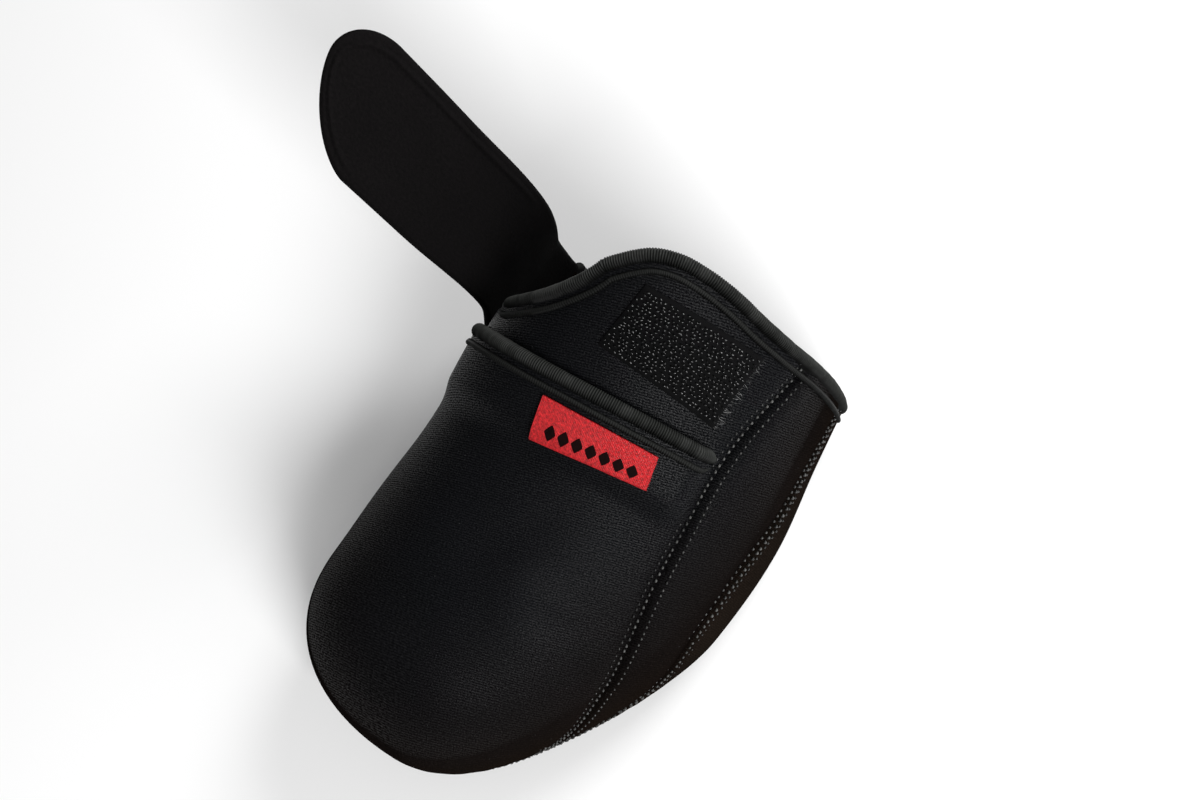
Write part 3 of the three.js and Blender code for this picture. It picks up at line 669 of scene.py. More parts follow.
class Finishes:
    """The materials, made from the colours in the scene's settings."""

    def __init__(self, colours):
        self.groups = {g.name: g for g in (
            fine_knit_group(), cloth_tone_group(), yarn_group(), satin_weave_group())}
        self.foam = self.knit("foam_cloth", colours.foam, colours.low_foam, 0.24, 0.00014, 0.36, 0.056)
        self.sole_foam = self.knit("sole_foam_cloth", colours.sole_foam, colours.sole_foam, 0.0, 0.00015, 0.8, 0.06)
        self.webbing = self.streaked("ribbed_webbing", colours.webbing, 0.5, 5.0, 0.00003, 0.55, 0.08, 1.9)
        self.loop = self.streaked("brushed_loop", colours.loop, 1.0, 1.5, 0.0002, 0.9, 0.05, 0.8)
        self.hooks = self.streaked("hook_nylon", colours.hooks, 1.0, 1.0, 0.00002, 0.25, 0.5, 1.9)
        self.patch = self.streaked("patch_weave", colours.patch, 3.0, 2.0, 0.0001, 0.7, 0.05)
        self.thread = self.streaked("sewing_thread", colours.thread, 1.0, 4.0, 0.00004, 0.34, 0.4, 1.8)
        self.satin = self.woven("label_satin", colours.satin)
        self.lozenge = self.streaked("lozenge_thread", colours.lozenge, 1.0, 3.0, 0.00005, 0.7, 0.03)

    def begin(self, name, roughness, gloss):
        """A new material, its nodes, its shader's inputs and the place on the cloth."""
        material = bpy.data.materials.new(name)
        material.use_nodes = True
        shader = material.node_tree.nodes["Principled BSDF"].inputs
        shader["Roughness"].default_value = roughness
        shader["Specular IOR Level"].default_value = gloss
        nodes = Nodes(material.node_tree)
        return material, nodes, shader, nodes.attribute("cloth", "Vector")

    def use(self, nodes, name, place, **numbers):
        return nodes.add("Group", {"Cloth": place, **numbers}, node_tree=self.groups[name])

    def bump(self, nodes, shader, height, distance):
        bump = nodes.add("Bump", {"Distance": distance, "Height": height})
        nodes.feed(shader["Normal"], bump["Normal"])

    def knit(self, name, colour, low_colour, turn, distance, roughness, gloss):
        """Knit on foam: browner and duller towards the ground, darker along the seams, with painted shade near the
        collar binding and painted glints in its colour.
        """
        material, nodes, shader, place = self.begin(name, roughness, gloss)
        knit = self.use(nodes, "fine_knit", place, Pitch=0.62, Turn=turn)
        tone = self.use(nodes, "cloth_tone", place, Depth=0.45, Lint=0.3)
        light_and_tone_level = nodes.attribute("painted_light_and_tone", "Fac")
        height = nodes.parts(nodes.add("NewGeometry", {})["Position"])["Z"]
        raised = nodes.span(knit["Height"], 0.25, 0.78, 0.45, 1.6)
        # the attribute darkens the knit along the seams and, as painted shade, near the collar binding; Glint adds
        # painted glints to its colour
        level = nodes.total(nodes.product(tone["Tone"], raised, nodes.span(light_and_tone_level, 0.0, 1.0, 1.0, 0.4)),
                            nodes.product(knit["Glint"], 1.2))
        ground = nodes.blended(nodes.span(height, 0.024, 0.058, 0.0, 1.0), (*low_colour, 1.0), (*colour, 1.0))
        lint = (*(0.08 + 3 * c for c in colour), 1.0)
        nodes.feed(shader["Base Color"], nodes.blended(tone["Specks"], nodes.tinted(ground, level), lint))
        nodes.feed(shader["Specular IOR Level"], nodes.product(
            nodes.span(height, 0.036, 0.066, 0.0, 1.0), nodes.span(knit["Height"], 0.44, 0.72, 0.0, 4.6),
            nodes.span(light_and_tone_level, 0.0, 0.8, gloss, 0.3 * gloss)))
        self.bump(nodes, shader, knit["Height"], distance)
        return material

    def streaked(self, name, colour, scale, stretch, distance, roughness, gloss, contrast=0.0):
        """Yarn or thread, with that much contrast between points painted darker and lighter: painted light and shade
        on bindings, strap, stitches and hooks, random tone on loose threads.
        """
        material, nodes, shader, place = self.begin(name, roughness, gloss)
        yarn = self.use(nodes, "yarn", place, Stretch=stretch, Scale=scale)
        level = nodes.product(yarn["Tone"], self.use(nodes, "cloth_tone", place, Depth=0.3)["Tone"])
        if contrast:
            level = nodes.product(level, nodes.span(nodes.attribute("painted_light_and_tone", "Fac"), 0.0, 1.0,
                                                    1 - contrast / 2, 1 + contrast / 2))
        nodes.feed(shader["Base Color"], nodes.tinted(tuple(colour), level))
        nodes.feed(shader["Roughness"], nodes.span(yarn["Height"], 0.3, 0.7, roughness - 0.08, roughness + 0.1))
        self.bump(nodes, shader, yarn["Height"], distance)
        return material

    def woven(self, name, colour):
        material, nodes, shader, place = self.begin(name, 0.42, 0.35)
        weave = self.use(nodes, "satin_weave", place)
        tone = self.use(nodes, "cloth_tone", place, Depth=0.2)
        nodes.feed(shader["Base Color"], nodes.tinted(tuple(colour), nodes.product(weave["Tone"], tone["Tone"])))
        nodes.feed(shader["Roughness"], nodes.span(weave["Height"], 0.2, 0.9, 0.25, 0.6))
        self.bump(nodes, shader, weave["Height"], 0.00018)
        return material


@functools.cache
def finishes():
    """The materials, made once."""
    return Finishes(bpy.context.scene.cover_colours)


@functools.cache
def seams():
    """The seam lines, worked out once."""
    return Seams()


# Settings

def size_setting(label, description, millimetres):
    return FloatProperty(name=label, description=description, default=millimetres * MM, unit="LENGTH")


def colour_setting(label, description, *colour):
    return FloatVectorProperty(name=label, description=description, subtype="COLOR", default=colour)


class CoverSizes(bpy.types.PropertyGroup):
    """Fine sizes of the dressed cover."""

    mesh_pitch: size_setting("Mesh pitch", "Spacing of the panels' points", 1.15)
    seam_depth: size_setting("Seam depth", "Depth of the groove between two panels", 0.55)
    rib_pitch: size_setting("Rib pitch", "Spacing of the ribs across the elastic binding", 0.66)
    rib_height: size_setting("Rib height", "Height of the binding's ribs", 0.15)
    stitch_pitch: size_setting("Stitch pitch", "Spacing of the flatlock stitches", 1.9)
    thread: size_setting("Thread", "Half thickness of the sewing thread", 0.26)
    hook_pitch: size_setting("Hook pitch", "Spacing of the hooks on the patch", 1.3)
    lozenges: IntProperty(name="Lozenges", description="Black lozenges woven into the label", default=7, min=2)


class CoverColours(bpy.types.PropertyGroup):
    """Colours of the cover's finishes."""

    foam: colour_setting("Foam cloth", "Knit on the foam panels", 0.0036, 0.0038, 0.0045)
    low_foam: colour_setting("Low foam cloth", "The same knit near the ground", 0.0058, 0.0041, 0.0032)
    sole_foam: colour_setting("Sole cloth", "Knit on the panel under the foot", 0.0078, 0.0057, 0.0044)
    webbing: colour_setting("Binding", "Ribbed elastic binding", 0.0180, 0.0188, 0.0176)
    loop: colour_setting("Loop face", "Brushed inner face of the strap", 0.0030, 0.0026, 0.0027)
    hooks: colour_setting("Hooks", "Nylon of the hook patch", 0.060, 0.060, 0.060)
    patch: colour_setting("Patch", "Woven ground of the hook patch", 0.0026, 0.0026, 0.0028)
    satin: colour_setting("Label", "Satin of the label", 0.48, 0.010, 0.014)
    thread: colour_setting("Thread", "Sewing thread", 0.042, 0.042, 0.040)
    lozenge: colour_setting("Lozenges", "Black thread on the label", 0.006, 0.002, 0.002)


class StageSettings(bpy.types.PropertyGroup):
    """Light, floor and camera."""

    floor: FloatVectorProperty(name="Floor", description="Colour of the floor", subtype="COLOR",
                               default=(0.93, 0.93, 0.93))
    key_power: FloatProperty(name="Key light", description="Power of the softbox at the outer side", default=12.0,
                             unit="POWER")
    rear_power: FloatProperty(name="Rear light", description="Power of the softbox at the heel", default=9.0,
                              unit="POWER")
    sky: FloatProperty(name="Surround", description="Strength of the even light all round", default=0.27)
    lens: FloatProperty(name="Lens", description="Focal length of the camera", default=45.0,
                        subtype="DISTANCE_CAMERA")
    distance: FloatProperty(name="Distance", description="From the camera to the middle of the cover",
                            default=0.427, unit="LENGTH")


# Pieces

def beside_cleat(q, a):
    """How far a spot lies from the opening under the foot, for spots near the floor."""
    p = off_last(q, a, WALL / 2)
    x = np.abs(p[:, 0]) - (CLEAT_WIDTH / 2 - CLEAT_CORNER)
    y = np.abs(p[:, 1] - CLEAT_MIDDLE_Y) - (CLEAT_LENGTH / 2 - CLEAT_CORNER)
    outside = np.hypot(np.maximum(x, 0), np.maximum(y, 0)) + np.minimum(np.maximum(x, y), 0)
    return np.where(p[:, 2] < CLEAT_BELOW, outside - CLEAT_CORNER, 10)


class COVER_OT_panels(bpy.types.Operator):
    """Make the toe panel, the side panel, the instep panel and the sole panel"""

    bl_idname = "cover.panels"
    bl_label = "Foam panels"

    def execute(self, context):
        sizes, look = context.scene.cover_sizes, finishes()
        pitch, depth = sizes.mesh_pitch / MM, sizes.seam_depth / MM
        gap = math.degrees(HALF_GAP / TOP_SEAM_RADIUS)

        def over_sole(q, a):
            return above_sole_seam(q, a) - HALF_GAP

        def over_side(q, a):
            return q - top_seam(a) - gap

        def before_collar(q, a):
            return collar_edge(q) - EDGE_UNDER_BEAD - a

        sheet = cut_sheet(even_rounds(-90, 270, pitch, 85), rows_from_tip(pitch, 112), over_sole, over_side,
                          lambda q, a: toe_edge(q) - EDGE_UNDER_BEAD - a)
        toe = foam_panel("toe_panel", sheet, depth, look.foam, "foam", "upper", low=lift)

        sheet = cut_sheet(even_rounds(-80, 50, pitch, 85), rows_from_tip(pitch, 146), over_sole,
                          lambda q, a: top_seam(a) - gap - q, before_collar)
        side = foam_panel("side_panel", sheet, depth, look.foam, "foam", "upper")

        # it runs in under the toe panel only where that is lifted
        front = TOE_BEAD_PLACE - BEAD_HALF_WIDTH - TUCK
        rows = np.linspace(front, 147, round((147 - front) / pitch))
        sheet = cut_sheet(even_rounds(20, INSTEP_MEDIAL_ROUND, pitch, 120), rows, over_side,
                          lambda q, a: np.maximum(q - 55, a - 108.2),
                          lambda q, a: np.maximum(133 - q, a - 112.5), before_collar)
        instep = foam_panel("instep_panel", sheet, depth, look.foam, "foam", "instep_panel")

        sheet = cut_sheet(even_rounds(155, 385, pitch, 85), rows_from_tip(pitch, 147),
                          lambda q, a: -above_sole_seam(q, a) - HALF_GAP,
                          lambda q, a: before_collar(np.where(q > 195, q - 360, -165), a), beside_cleat)
        sole = foam_panel("sole_tray", sheet, depth, look.sole_foam, "sole_foam", "sole_panel")
        return {"FINISHED"}


def binding_section(sides, lip):
    """Section of the rolled binding with its thin ridge, and how light each point is painted.

    Its first coordinate runs towards the heel, its second outwards.
    """
    turn = np.radians(np.linspace(-150, 148, sides))
    # painted light: the side towards the heel and outwards is lighter, the front side painted in shade
    lit = np.clip(0.15 + 0.9 * np.cos(turn - np.radians(38)), 0.03, 1) ** 1.3
    roll = np.stack([BEAD_HALF_WIDTH * np.cos(turn), BEAD_HALF_HEIGHT * np.sin(turn)], 1)
    ridge_turn = np.radians([15, 50, 85, 120, 160, 200])
    ridge = np.stack([-3.8 + 0.82 * np.cos(ridge_turn), 1.05 + 0.78 * np.sin(ridge_turn)], 1)
    edge = np.concatenate([[[-2.05, 0.78], [-2.35, 0.55], [-2.8, 0.65]], ridge,
                           [[-4.35, 0.5], [-3.1, 0.4], [-1.95, 0.1]]])
    plain_turn = np.radians(np.linspace(142, 205, len(edge)))
    plain = np.stack([BEAD_HALF_WIDTH * np.cos(plain_turn), BEAD_HALF_HEIGHT * np.sin(plain_turn)], 1)
    # painted highlight on the upper side of the thin ridge, the rest of the lip painted in shade
    shade = np.array([0.0, 0.0, 0.05, 0.25, 0.6, 0.4, 0.15, 0.1, 0.05, 0.0, 0.0, 0.0])
    return np.concatenate([roll, mix(plain, edge, lip)]), np.concatenate([lit, mix(0.1, shade, lip)])


def ribbed_binding(name, spots, off, lip, shrink, sizes, material, nodes):
    """The elastic binding along a line of spots, with its ribs as geometry."""
    rib, height = sizes.rib_pitch / MM, sizes.rib_height / MM
    run = lengths(off_last(spots[:, 0], spots[:, 1], off))
    count = round(run[-1] / rib)
    rib = run[-1] / count
    places = np.linspace(0, run[-1], 4 * count + 1)
    q, a, off, lip, shrink = (np.interp(places, run, v) for v in (spots[:, 0], spots[:, 1], off, lip, shrink))
    middles = off_last(q, a, off)
    out = last_normal(q, a)
    ahead = unit(np.gradient(middles, axis=0))
    back = unit(np.cross(ahead, out))
    out = np.cross(back, ahead)
    uneven = 1 + 0.2 * np.sin(places * 0.37) + 0.15 * np.sin(places * 1.13 + 1)
    beat = np.cos(2 * math.pi * places / rib)
    wave = height * uneven * beat
    sections, light = (np.stack(part) for part in zip(*(binding_section(18, share) for share in lip)))
    # painted light: rib crests and the section's lit side are lighter, the valleys between ribs painted in shade
    raised = light * (0.15 + 0.85 * (0.5 + 0.5 * beat[:, None]) ** 1.3)
    length = np.linalg.norm(sections, axis=2, keepdims=True)
    facing = np.clip(sections[..., 1:] / BEAD_HALF_HEIGHT + 0.9, 0, 1)
    sections = sections * shrink[:, None, None] * (1 + wave[:, None, None] * facing / length)
    around = np.cumsum(np.linalg.norm(np.diff(sections[0], axis=0, prepend=sections[0][:1]), axis=1))
    points = middles[:, None] + sections[..., :1] * back[:, None] + sections[..., 1:] * out[:, None]
    n, m = raised.shape
    cloth = np.stack([places[:, None] + 0 * raised, around + 0 * raised, 0 * raised], -1).reshape(-1, 3)
    cloth = np.concatenate([cloth, cloth[:1], cloth[-1:]])
    points = np.concatenate([points.reshape(-1, 3), points[0].mean(0)[None], points[-1].mean(0)[None]])
    return add_piece(name, points, ring_faces(n, m), material, "webbing", nodes, cloth,
                     np.concatenate([raised.ravel(), [0, 0]]), sharp=70)


class COVER_OT_bindings(bpy.types.Operator):
    """Make the ribbed elastic bindings of the toe panel and of the collar"""

    bl_idname = "cover.bindings"
    bl_label = "Elastic bindings"

    def execute(self, context):
        sizes, look = context.scene.cover_sizes, finishes()
        q = np.linspace(44.6, 188, 500)
        a = toe_edge(q)
        shrink = mix(0.3, 1, ramp((q - 44.6) / 6))
        ribbed_binding("toe_edge_binding", np.stack([q, a], 1), lift(q, a) + BEAD_HALF_HEIGHT,
                       np.ones(500), shrink, sizes, look.webbing, ["toe_binding"])
        q = np.linspace(-165, 143, 1100)
        under = ramp((-q - 18) / 20)
        off = mix(BEAD_HALF_HEIGHT, WALL - 0.4 - BEAD_HALF_HEIGHT - 0.1, under)
        ribbed_binding("collar_edge_binding", np.stack([q, collar_edge(q)], 1), off, ramp((q + 14) / 5),
                       mix(1, 0.3, ramp((q - 128) / 15)), sizes, look.webbing, ["collar_binding"])
        return {"FINISHED"}


def strap_middle(along, across):
    """Point of the strap's middle layer: up along the wall, then leaning out."""
    along, across = (np.array(v, float) for v in np.broadcast_arrays(along, across))
    from_tip = STRAP_FROM_TIP + across
    t = np.clip(-along / STRAP_ROOT, 0, 1)
    low = off_last(mix(STRAP_LEAVES[0], STRAP_ROOT_ROUND, t), from_tip,
                   mix(STRAP_LEAVES[1], STRAP_WALL / 2 + 0.2, ramp(t)))
    point = off_last(STRAP_LEAVES[0], from_tip, STRAP_LEAVES[1])
    rise = off_last(STRAP_LEAVES[0] - 0.5, from_tip, STRAP_LEAVES[1]) - off_last(
        STRAP_LEAVES[0] + 0.5, from_tip, STRAP_LEAVES[1])
    first = np.degrees(np.arctan2(-rise[..., 0], rise[..., 2]))
    s = np.maximum(along, 0)
    steps = 40
    for i in range(steps):
        here = (i + 0.5) / steps * s
        lean = np.radians(first + (STRAP_ANGLE - first) * ramp(here / STRAP_BEND) + STRAP_DROOP * (here / 100) ** 2)
        point[..., 0] -= np.sin(lean) * s / steps
        point[..., 2] += np.cos(lean) * s / steps
    forward = STRAP_FORWARD * ramp((s - STRAP_CLEAR) / STRAP_BEND) * (1 - across / (2 * STRAP_WIDTH))
    point[..., 1] += STRAP_SWEEP * s + STRAP_FLARE * across * s / 100 - forward
    return np.where((along < 0)[..., None], low, point)


def off_strap(along, across, off):
    lengthwise = strap_middle(along + 0.2, across) - strap_middle(along - 0.2, across)
    crosswise = strap_middle(along, across + 0.2) - strap_middle(along, across - 0.2)
    return strap_middle(along, across) + unit(np.cross(crosswise, lengthwise)) * np.asarray(off)[..., None]


def strap_end(across):
    """The rounded tip, longest two thirds of the way across, with a flatter front corner."""
    share = np.clip(across / STRAP_WIDTH, 0, 1)
    front = share < TIP_CREST
    t = np.clip(np.where(front, (TIP_CREST - share) / TIP_CREST, (share - TIP_CREST) / (1 - TIP_CREST)), 0, 1)
    power = np.where(front, 1.6, 2.0)
    return STRAP_LENGTH - np.where(front, *TIP_DEPTH) * (1 - (1 - t ** power) ** (1 / power))


def rippled(x, y, seed):
    """Slow unevenness from a few crossing waves."""
    rng = np.random.default_rng(seed)
    total = 0 * x
    for _ in range(7):
        direction, size, phase = rng.uniform(0, math.pi), rng.uniform(9, 30), rng.uniform(0, 6.3)
        total = total + np.sin((x * math.cos(direction) + y * math.sin(direction)) * 2 * math.pi / size + phase)
    return total / 7


def strap_sheet(name, start, insets, apron, low, high, edge_round, relief, material, slot, nodes):
    """A sheet with rounded edges along the strap, between two heights off its middle layer.

    At its root it reaches that much farther forward, under the toe panel's binding.
    """
    u = (1 - np.cos(np.linspace(0, math.pi, 73))) / 2
    across = mix(insets[0], STRAP_WIDTH - insets[1], u)
    end = strap_end(mix(0, STRAP_WIDTH, u)) - insets[2]
    rows = np.concatenate([np.linspace(0, 0.955, 95), 0.955 + 0.045 * np.sin(np.linspace(0, math.pi / 2, 14))[1:]])
    along = mix(start, end[None, :], rows[:, None])
    across = across - apron * (1 - u) * (1 - ramp((along - 4) / 12))
    outline = np.concatenate([np.stack([along[:, 0], across[:, 0]], 1), np.stack([along[-1], across[-1]], 1),
                              np.stack([along[:, -1], across[:, -1]], 1)])
    dense = np.concatenate([mix(outline[:-1], outline[1:], t) for t in np.linspace(0, 1, 6)[:-1]])
    tree = kdtree.KDTree(len(dense))
    for k, (s, w) in enumerate(dense):
        tree.insert((s, w, 0), k)
    tree.balance()
    s, w = along.ravel(), across.ravel()
    edge = np.array([tree.find((x, y, 0))[2] for x, y in zip(s, w)])
    full = np.sqrt(np.clip(1 - (1 - np.minimum(edge / edge_round, 1)) ** 2, 0, 1))
    middle, half = (low + high) / 2, (high - low) / 2
    spots, tris = grid(np.arange(along.shape[1]), np.arange(along.shape[0]))
    top = off_strap(s, w, middle + half * full + relief(s, w, edge))
    bottom = off_strap(s, w, middle - half * full - 0.4 * relief(s, w, edge))
    points, faces = shell(tris, bottom, top)
    cloth = np.stack([w, s, 0 * s], 1)
    # painted light: the strap is painted lighter towards its tip, with a painted highlight just before the tip
    painted_light_and_tone = 0.8 * ramp(s / 75) + 0.35 * np.exp(-((s - 84) / 5) ** 2) * (1 + rippled(2 * s, 2 * w, 5))
    return add_piece(name, points, faces, material, slot, nodes, np.tile(cloth, (2, 1)), np.tile(painted_light_and_tone, 2), sharp=80)


class COVER_OT_strap(bpy.types.Operator):
    """Make the open strap and its brushed loop facing"""

    bl_idname = "cover.strap"
    bl_label = "Strap"

    def execute(self, context):
        look = finishes()

        def slow_waves(s, w):
            return 0.3 * rippled(s, w, 3)

        def strap_relief(s, w, edge):
            return slow_waves(s, w) * ramp(edge / 2)

        def facing_relief(s, w, edge):
            rear = ramp((w - 12) / 10) * ramp((s - FACING_FROM) / 12)
            tip = ramp((s - 66) / 10)
            hem = 0.55 * np.exp(-((edge - 1.0) / 0.7) ** 2) - 0.25 * np.exp(-((edge - 3.2) / 1.6) ** 2)
            return slow_waves(s, w) + hem * np.maximum(rear, tip) + 0.03 * rippled(5 * s, 5 * w, 8)

        strap = strap_sheet("strap_foam", -STRAP_ROOT, (0, 0, 0), 1.9, -STRAP_WALL / 2, STRAP_WALL / 2, 1.3,
                            strap_relief, look.loop, "foam", ["strap"])
        low = STRAP_WALL / 2 - 0.3
        facing = strap_sheet("strap_loop_face", FACING_FROM, FACING_INSETS, 0, low, low + 0.38, 2.2, facing_relief,
                             look.loop, "loop", ["strap_facing"])
        return {"FINISHED"}


def arch(start, end, out, ends, top, thick, bright):
    """One stitch: a short thread that rises from start and sinks at end."""
    a, b = start + out * ends, end + out * ends
    crest = (start + end) / 2 + out * top
    t = np.linspace(0, 1, 6)[:, None]
    path = (1 - t) ** 2 * a + 2 * t * (1 - t) * (2 * crest - (a + b) / 2) + t * t * b
    # painted highlight: each stitch is lighter at its crest and painted in shade where it sinks in
    level = bright * np.array([0.1, 0.6, 1, 1, 0.6, 0.1])
    return tube(path, thick * np.array([0.6, 0.95, 1.15, 1.15, 0.95, 0.6]), 6, up=out, bright=level)


# rows of a flatlock seam: place beside the line, start, reach and height of a stitch, thickness, brightness of its
# painted highlight
FLATLOCK_ROWS = ((-1.3, 0.0, 0.8, 0.26, 1.15, 1.0),
                 (-2.9, 0.9, 0.6, 0.08, 0.85, 0.35),
                 (1.9, 0.5, 0.6, 0.14, 0.95, 0.7))


def flatlock(line, run, pitch, radius, depth, stop):
    """Stitches of a flatlock seam: a double row on one side, a single one on the other."""
    rng = np.random.default_rng(11)
    rows = {w: beside(line, w, WALL + float(seam_relief(np.array(abs(w)), np.array(0.0), depth)))
            for w, *_ in FLATLOCK_ROWS}
    upward = unit(beside(line, 0, WALL + 1) - beside(line, 0, WALL))

    def at(w, place):
        return np.array([np.interp(place, run, rows[w][:, k]) for k in range(3)])

    parts = []
    start = 3
    for k in range(int((run[-1] - start - stop) / pitch)):
        t = start + k * pitch + rng.uniform(-0.15, 0.15)
        out = np.array([np.interp(t, run, upward[:, k]) for k in range(3)])
        for w, later, reach, top, thick, light in FLATLOCK_ROWS:
            place = t + later + rng.uniform(-0.2, 0.2)
            bright = light * rng.uniform(0.15, 1.0)
            parts.append(arch(at(w, place), at(w, place + reach), out, -0.2, top, thick * radius, bright))
    return parts


def cleat_edge(pitch):
    """Spots evenly round the opening under the foot, and the way out of the opening at each."""
    turn = np.linspace(0, 2 * math.pi, 241)
    way = np.stack([np.cos(turn), np.sin(turn)], 1)
    half = np.array([CLEAT_WIDTH / 2 - CLEAT_CORNER, CLEAT_LENGTH / 2 - CLEAT_CORNER])
    line = half * np.where(way > 0, 1, -1) + CLEAT_CORNER * way + np.array([0, CLEAT_MIDDLE_Y])
    run = lengths(np.column_stack([line, 0 * turn]))
    places = np.linspace(0, run[-1], round(run[-1] / pitch) + 1)[:-1]
    x, y = (np.interp(places, run, line[:, k]) for k in (0, 1))
    way = np.stack([np.interp(places, run, way[:, k]) for k in (0, 1)] + [0 * places], 1)
    q, a = np.full(x.shape, 270.0), y.copy()
    for _ in range(4):
        q = bisect(lambda v: x - off_last(v, a, WALL / 2)[:, 0], 200.0, 340.0)
        a = a + y - off_last(q, a, WALL / 2)[:, 1]
    return q, a, unit(way)


class COVER_OT_stitching(bpy.types.Operator):
    """Make the flatlock stitches of the two seams and the stitches round the cleat opening"""

    bl_idname = "cover.stitching"
    bl_label = "Stitching"

    def execute(self, context):
        sizes, look, lines = context.scene.cover_sizes, finishes(), seams()
        pitch, radius, depth = sizes.stitch_pitch / MM, sizes.thread / MM, sizes.seam_depth / MM
        for name, line, run, stop in (("top_seam_stitches", lines.top, lines.top_run, 2.5),
                                      ("sole_seam_stitches", lines.sole, lines.sole_run, 4)):
            add_joined(name, flatlock(line, run, pitch, radius, depth, stop), look.thread, "webbing")

        parts = []
        q, a, way = cleat_edge(1.25 * pitch)
        inside, outside = off_last(q, a, 0.0), off_last(q, a, WALL)
        for high, low, out in zip(inside, outside, way):
            over = [high + 2.2 * out + [0, 0, 0.1], high + 0.5 * out + [0, 0, 0.3], high - 0.2 * out,
                    mix(high, low, 0.5) - 0.3 * out, low - 0.2 * out + [0, 0, 0.5]]
            parts.append(tube(np.array(over), 1.4 * radius, 6, bright=0.4))
        add_joined("cleat_edge_stitches", parts, look.thread, "webbing")
        return {"FINISHED"}


def laid_spots(corners, u, v):
    """Spots between four corners on the last: u from the outer side in, v from the front back."""
    (q0, a0), (q1, a1) = corners["front"]
    (q2, a2), (q3, a3) = corners["rear"]
    return mix(mix(q0, q1, u), mix(q2, q3, u), v), REACH * mix(mix(a0, a1, u), mix(a2, a3, u), v)


def laid_spot(corners, u, v):
    """One such spot, as arrays of one."""
    return [np.array([c]) for c in laid_spots(corners, u, v)]


def outwards(q, a):
    """Way over the last to the outer side, at one spot."""
    return unit(off_last(q - 1, a, 3.6)[0] - off_last(q + 1, a, 3.6)[0])


def laid_piece(name, u, v, spots, low, high, wide, long, *look):
    """A small sheet over a grid of spots, between two heights off the last."""
    tris = grid(np.arange(u.shape[1]), np.arange(u.shape[0]))[1]
    points, faces = shell(tris, *(off_last(*spots, height).reshape(-1, 3) for height in (low, high)))
    cloth = np.tile(np.stack([u.ravel() * wide, v.ravel() * long, 0 * u.ravel()], 1), (2, 1))
    return add_piece(name, points, faces, *look, cloth)


class COVER_OT_hook_patch(bpy.types.Operator):
    """Make the sewn patch of hooks on the instep"""

    bl_idname = "cover.hook_patch"
    bl_label = "Hook patch"

    def execute(self, context):
        look = finishes()
        pitch = context.scene.cover_sizes.hook_pitch / MM
        wide, long = 36.5, 20.5
        rng = np.random.default_rng(7)

        def curl(u, v):
            return 1.5 * ramp((0.16 - u) / 0.16) * ramp((0.3 - v) / 0.3) + 0.35 * ramp((0.06 - u) / 0.06)

        u, v = np.meshgrid(np.linspace(0, 1, 49), np.linspace(0, 1, 29))
        ragged = 0.006 * rippled(v.ravel() * 90, 0 * v.ravel(), 21).reshape(v.shape) * (u < 0.01)
        spots = laid_spots(HOOK_CORNERS, u + ragged, v)
        edge = np.minimum.reduce([u * wide, (1 - u) * wide, v * long, (1 - v) * long])
        round_off = 0.3 * (1 - ramp(edge / 0.8))
        base = laid_piece("hook_tape", u, v, spots, WALL + curl(u, v), 3.95 + curl(u, v) - round_off, wide, long,
                          look.patch, "hooks", ["hook_patch"])

        parts = []
        columns, rows = round((wide - 1.6) / pitch), round((long - 1.6) / (0.78 * pitch))
        for j in range(rows):
            for i in range(columns):
                x = 0.9 + (i + 0.25 + 0.5 * (j % 2)) * (wide - 1.8) / columns + rng.uniform(-0.22, 0.22)
                y = 0.9 + (j + 0.5) * (long - 1.8) / rows + rng.uniform(-0.2, 0.2)
                cu, cv = x / wide, y / long
                q0, a0 = laid_spot(HOOK_CORNERS, cu, cv)
                foot = off_last(q0, a0, 3.8 + curl(cu, cv))[0]
                up = last_normal(q0, a0)[0]
                lead = unit(np.cross(up, [0.0, 1.0, 0.0]))
                heading = rng.choice([0.0, math.pi]) + rng.uniform(-0.7, 0.7)
                lead = math.cos(heading) * lead + math.sin(heading) * np.cross(up, lead)
                tall, reach = rng.uniform(0.9, 1.3), rng.uniform(0.26, 0.42)
                path = [foot, foot + up * (tall - reach)]
                for k in np.radians([40, 90, 140, 190]):
                    path.append(foot + up * (tall - reach + reach * math.sin(k) * 0.9)
                                + lead * reach * (1 - math.cos(k)) * 0.75)
                # painted glint: the top of each hook's bend is painted lighter, some much more than others
                painted_glint = 1.25 * rng.uniform(0.1, 1.0) ** 3
                parts.append(tube(np.array(path), 0.12, 5, bright=painted_glint * np.array([0, 0.1, 0.4, 1, 0.4, 0.1])))
        hooks = add_joined("hooks", parts, look.hooks, "hooks")

        threads = []
        for k in range(34):
            v0 = (k + 0.5) / 34 + rng.uniform(-0.01, 0.01)
            q0, a0 = laid_spot(HOOK_CORNERS, 0.004, v0)
            foot = off_last(q0, a0, rng.uniform(3.15, 3.9) + curl(0.004, v0))[0]
            away = outwards(q0, a0)
            up, aside = last_normal(q0, a0)[0], np.array([0.0, 1.0, 0.0])
            reach, bend, swing = rng.uniform(0.5, 2.2), rng.uniform(-0.5, 0.7), rng.uniform(-0.9, 0.9)
            s = np.linspace(0, 1, 5)[:, None]
            path = foot + away * reach * s + up * bend * s * s + aside * swing * s * s
            threads.append(tube(path, 0.07, 4, bright=rng.uniform(0.0, 0.55)))
        add_joined("frayed_threads", threads, look.thread, "hooks")
        return {"FINISHED"}


def label_rise(u, v):
    """How far the label stands off the panel: most at its free front end and its outer corner."""
    return (0.9 * (1 - v) ** 1.5 + 0.22 * np.sin(np.asarray(u) * 9 + 0.6) * (1 - v)
            + 0.5 * ramp((0.15 - u) / 0.15) * ramp((0.7 - v) / 0.7))


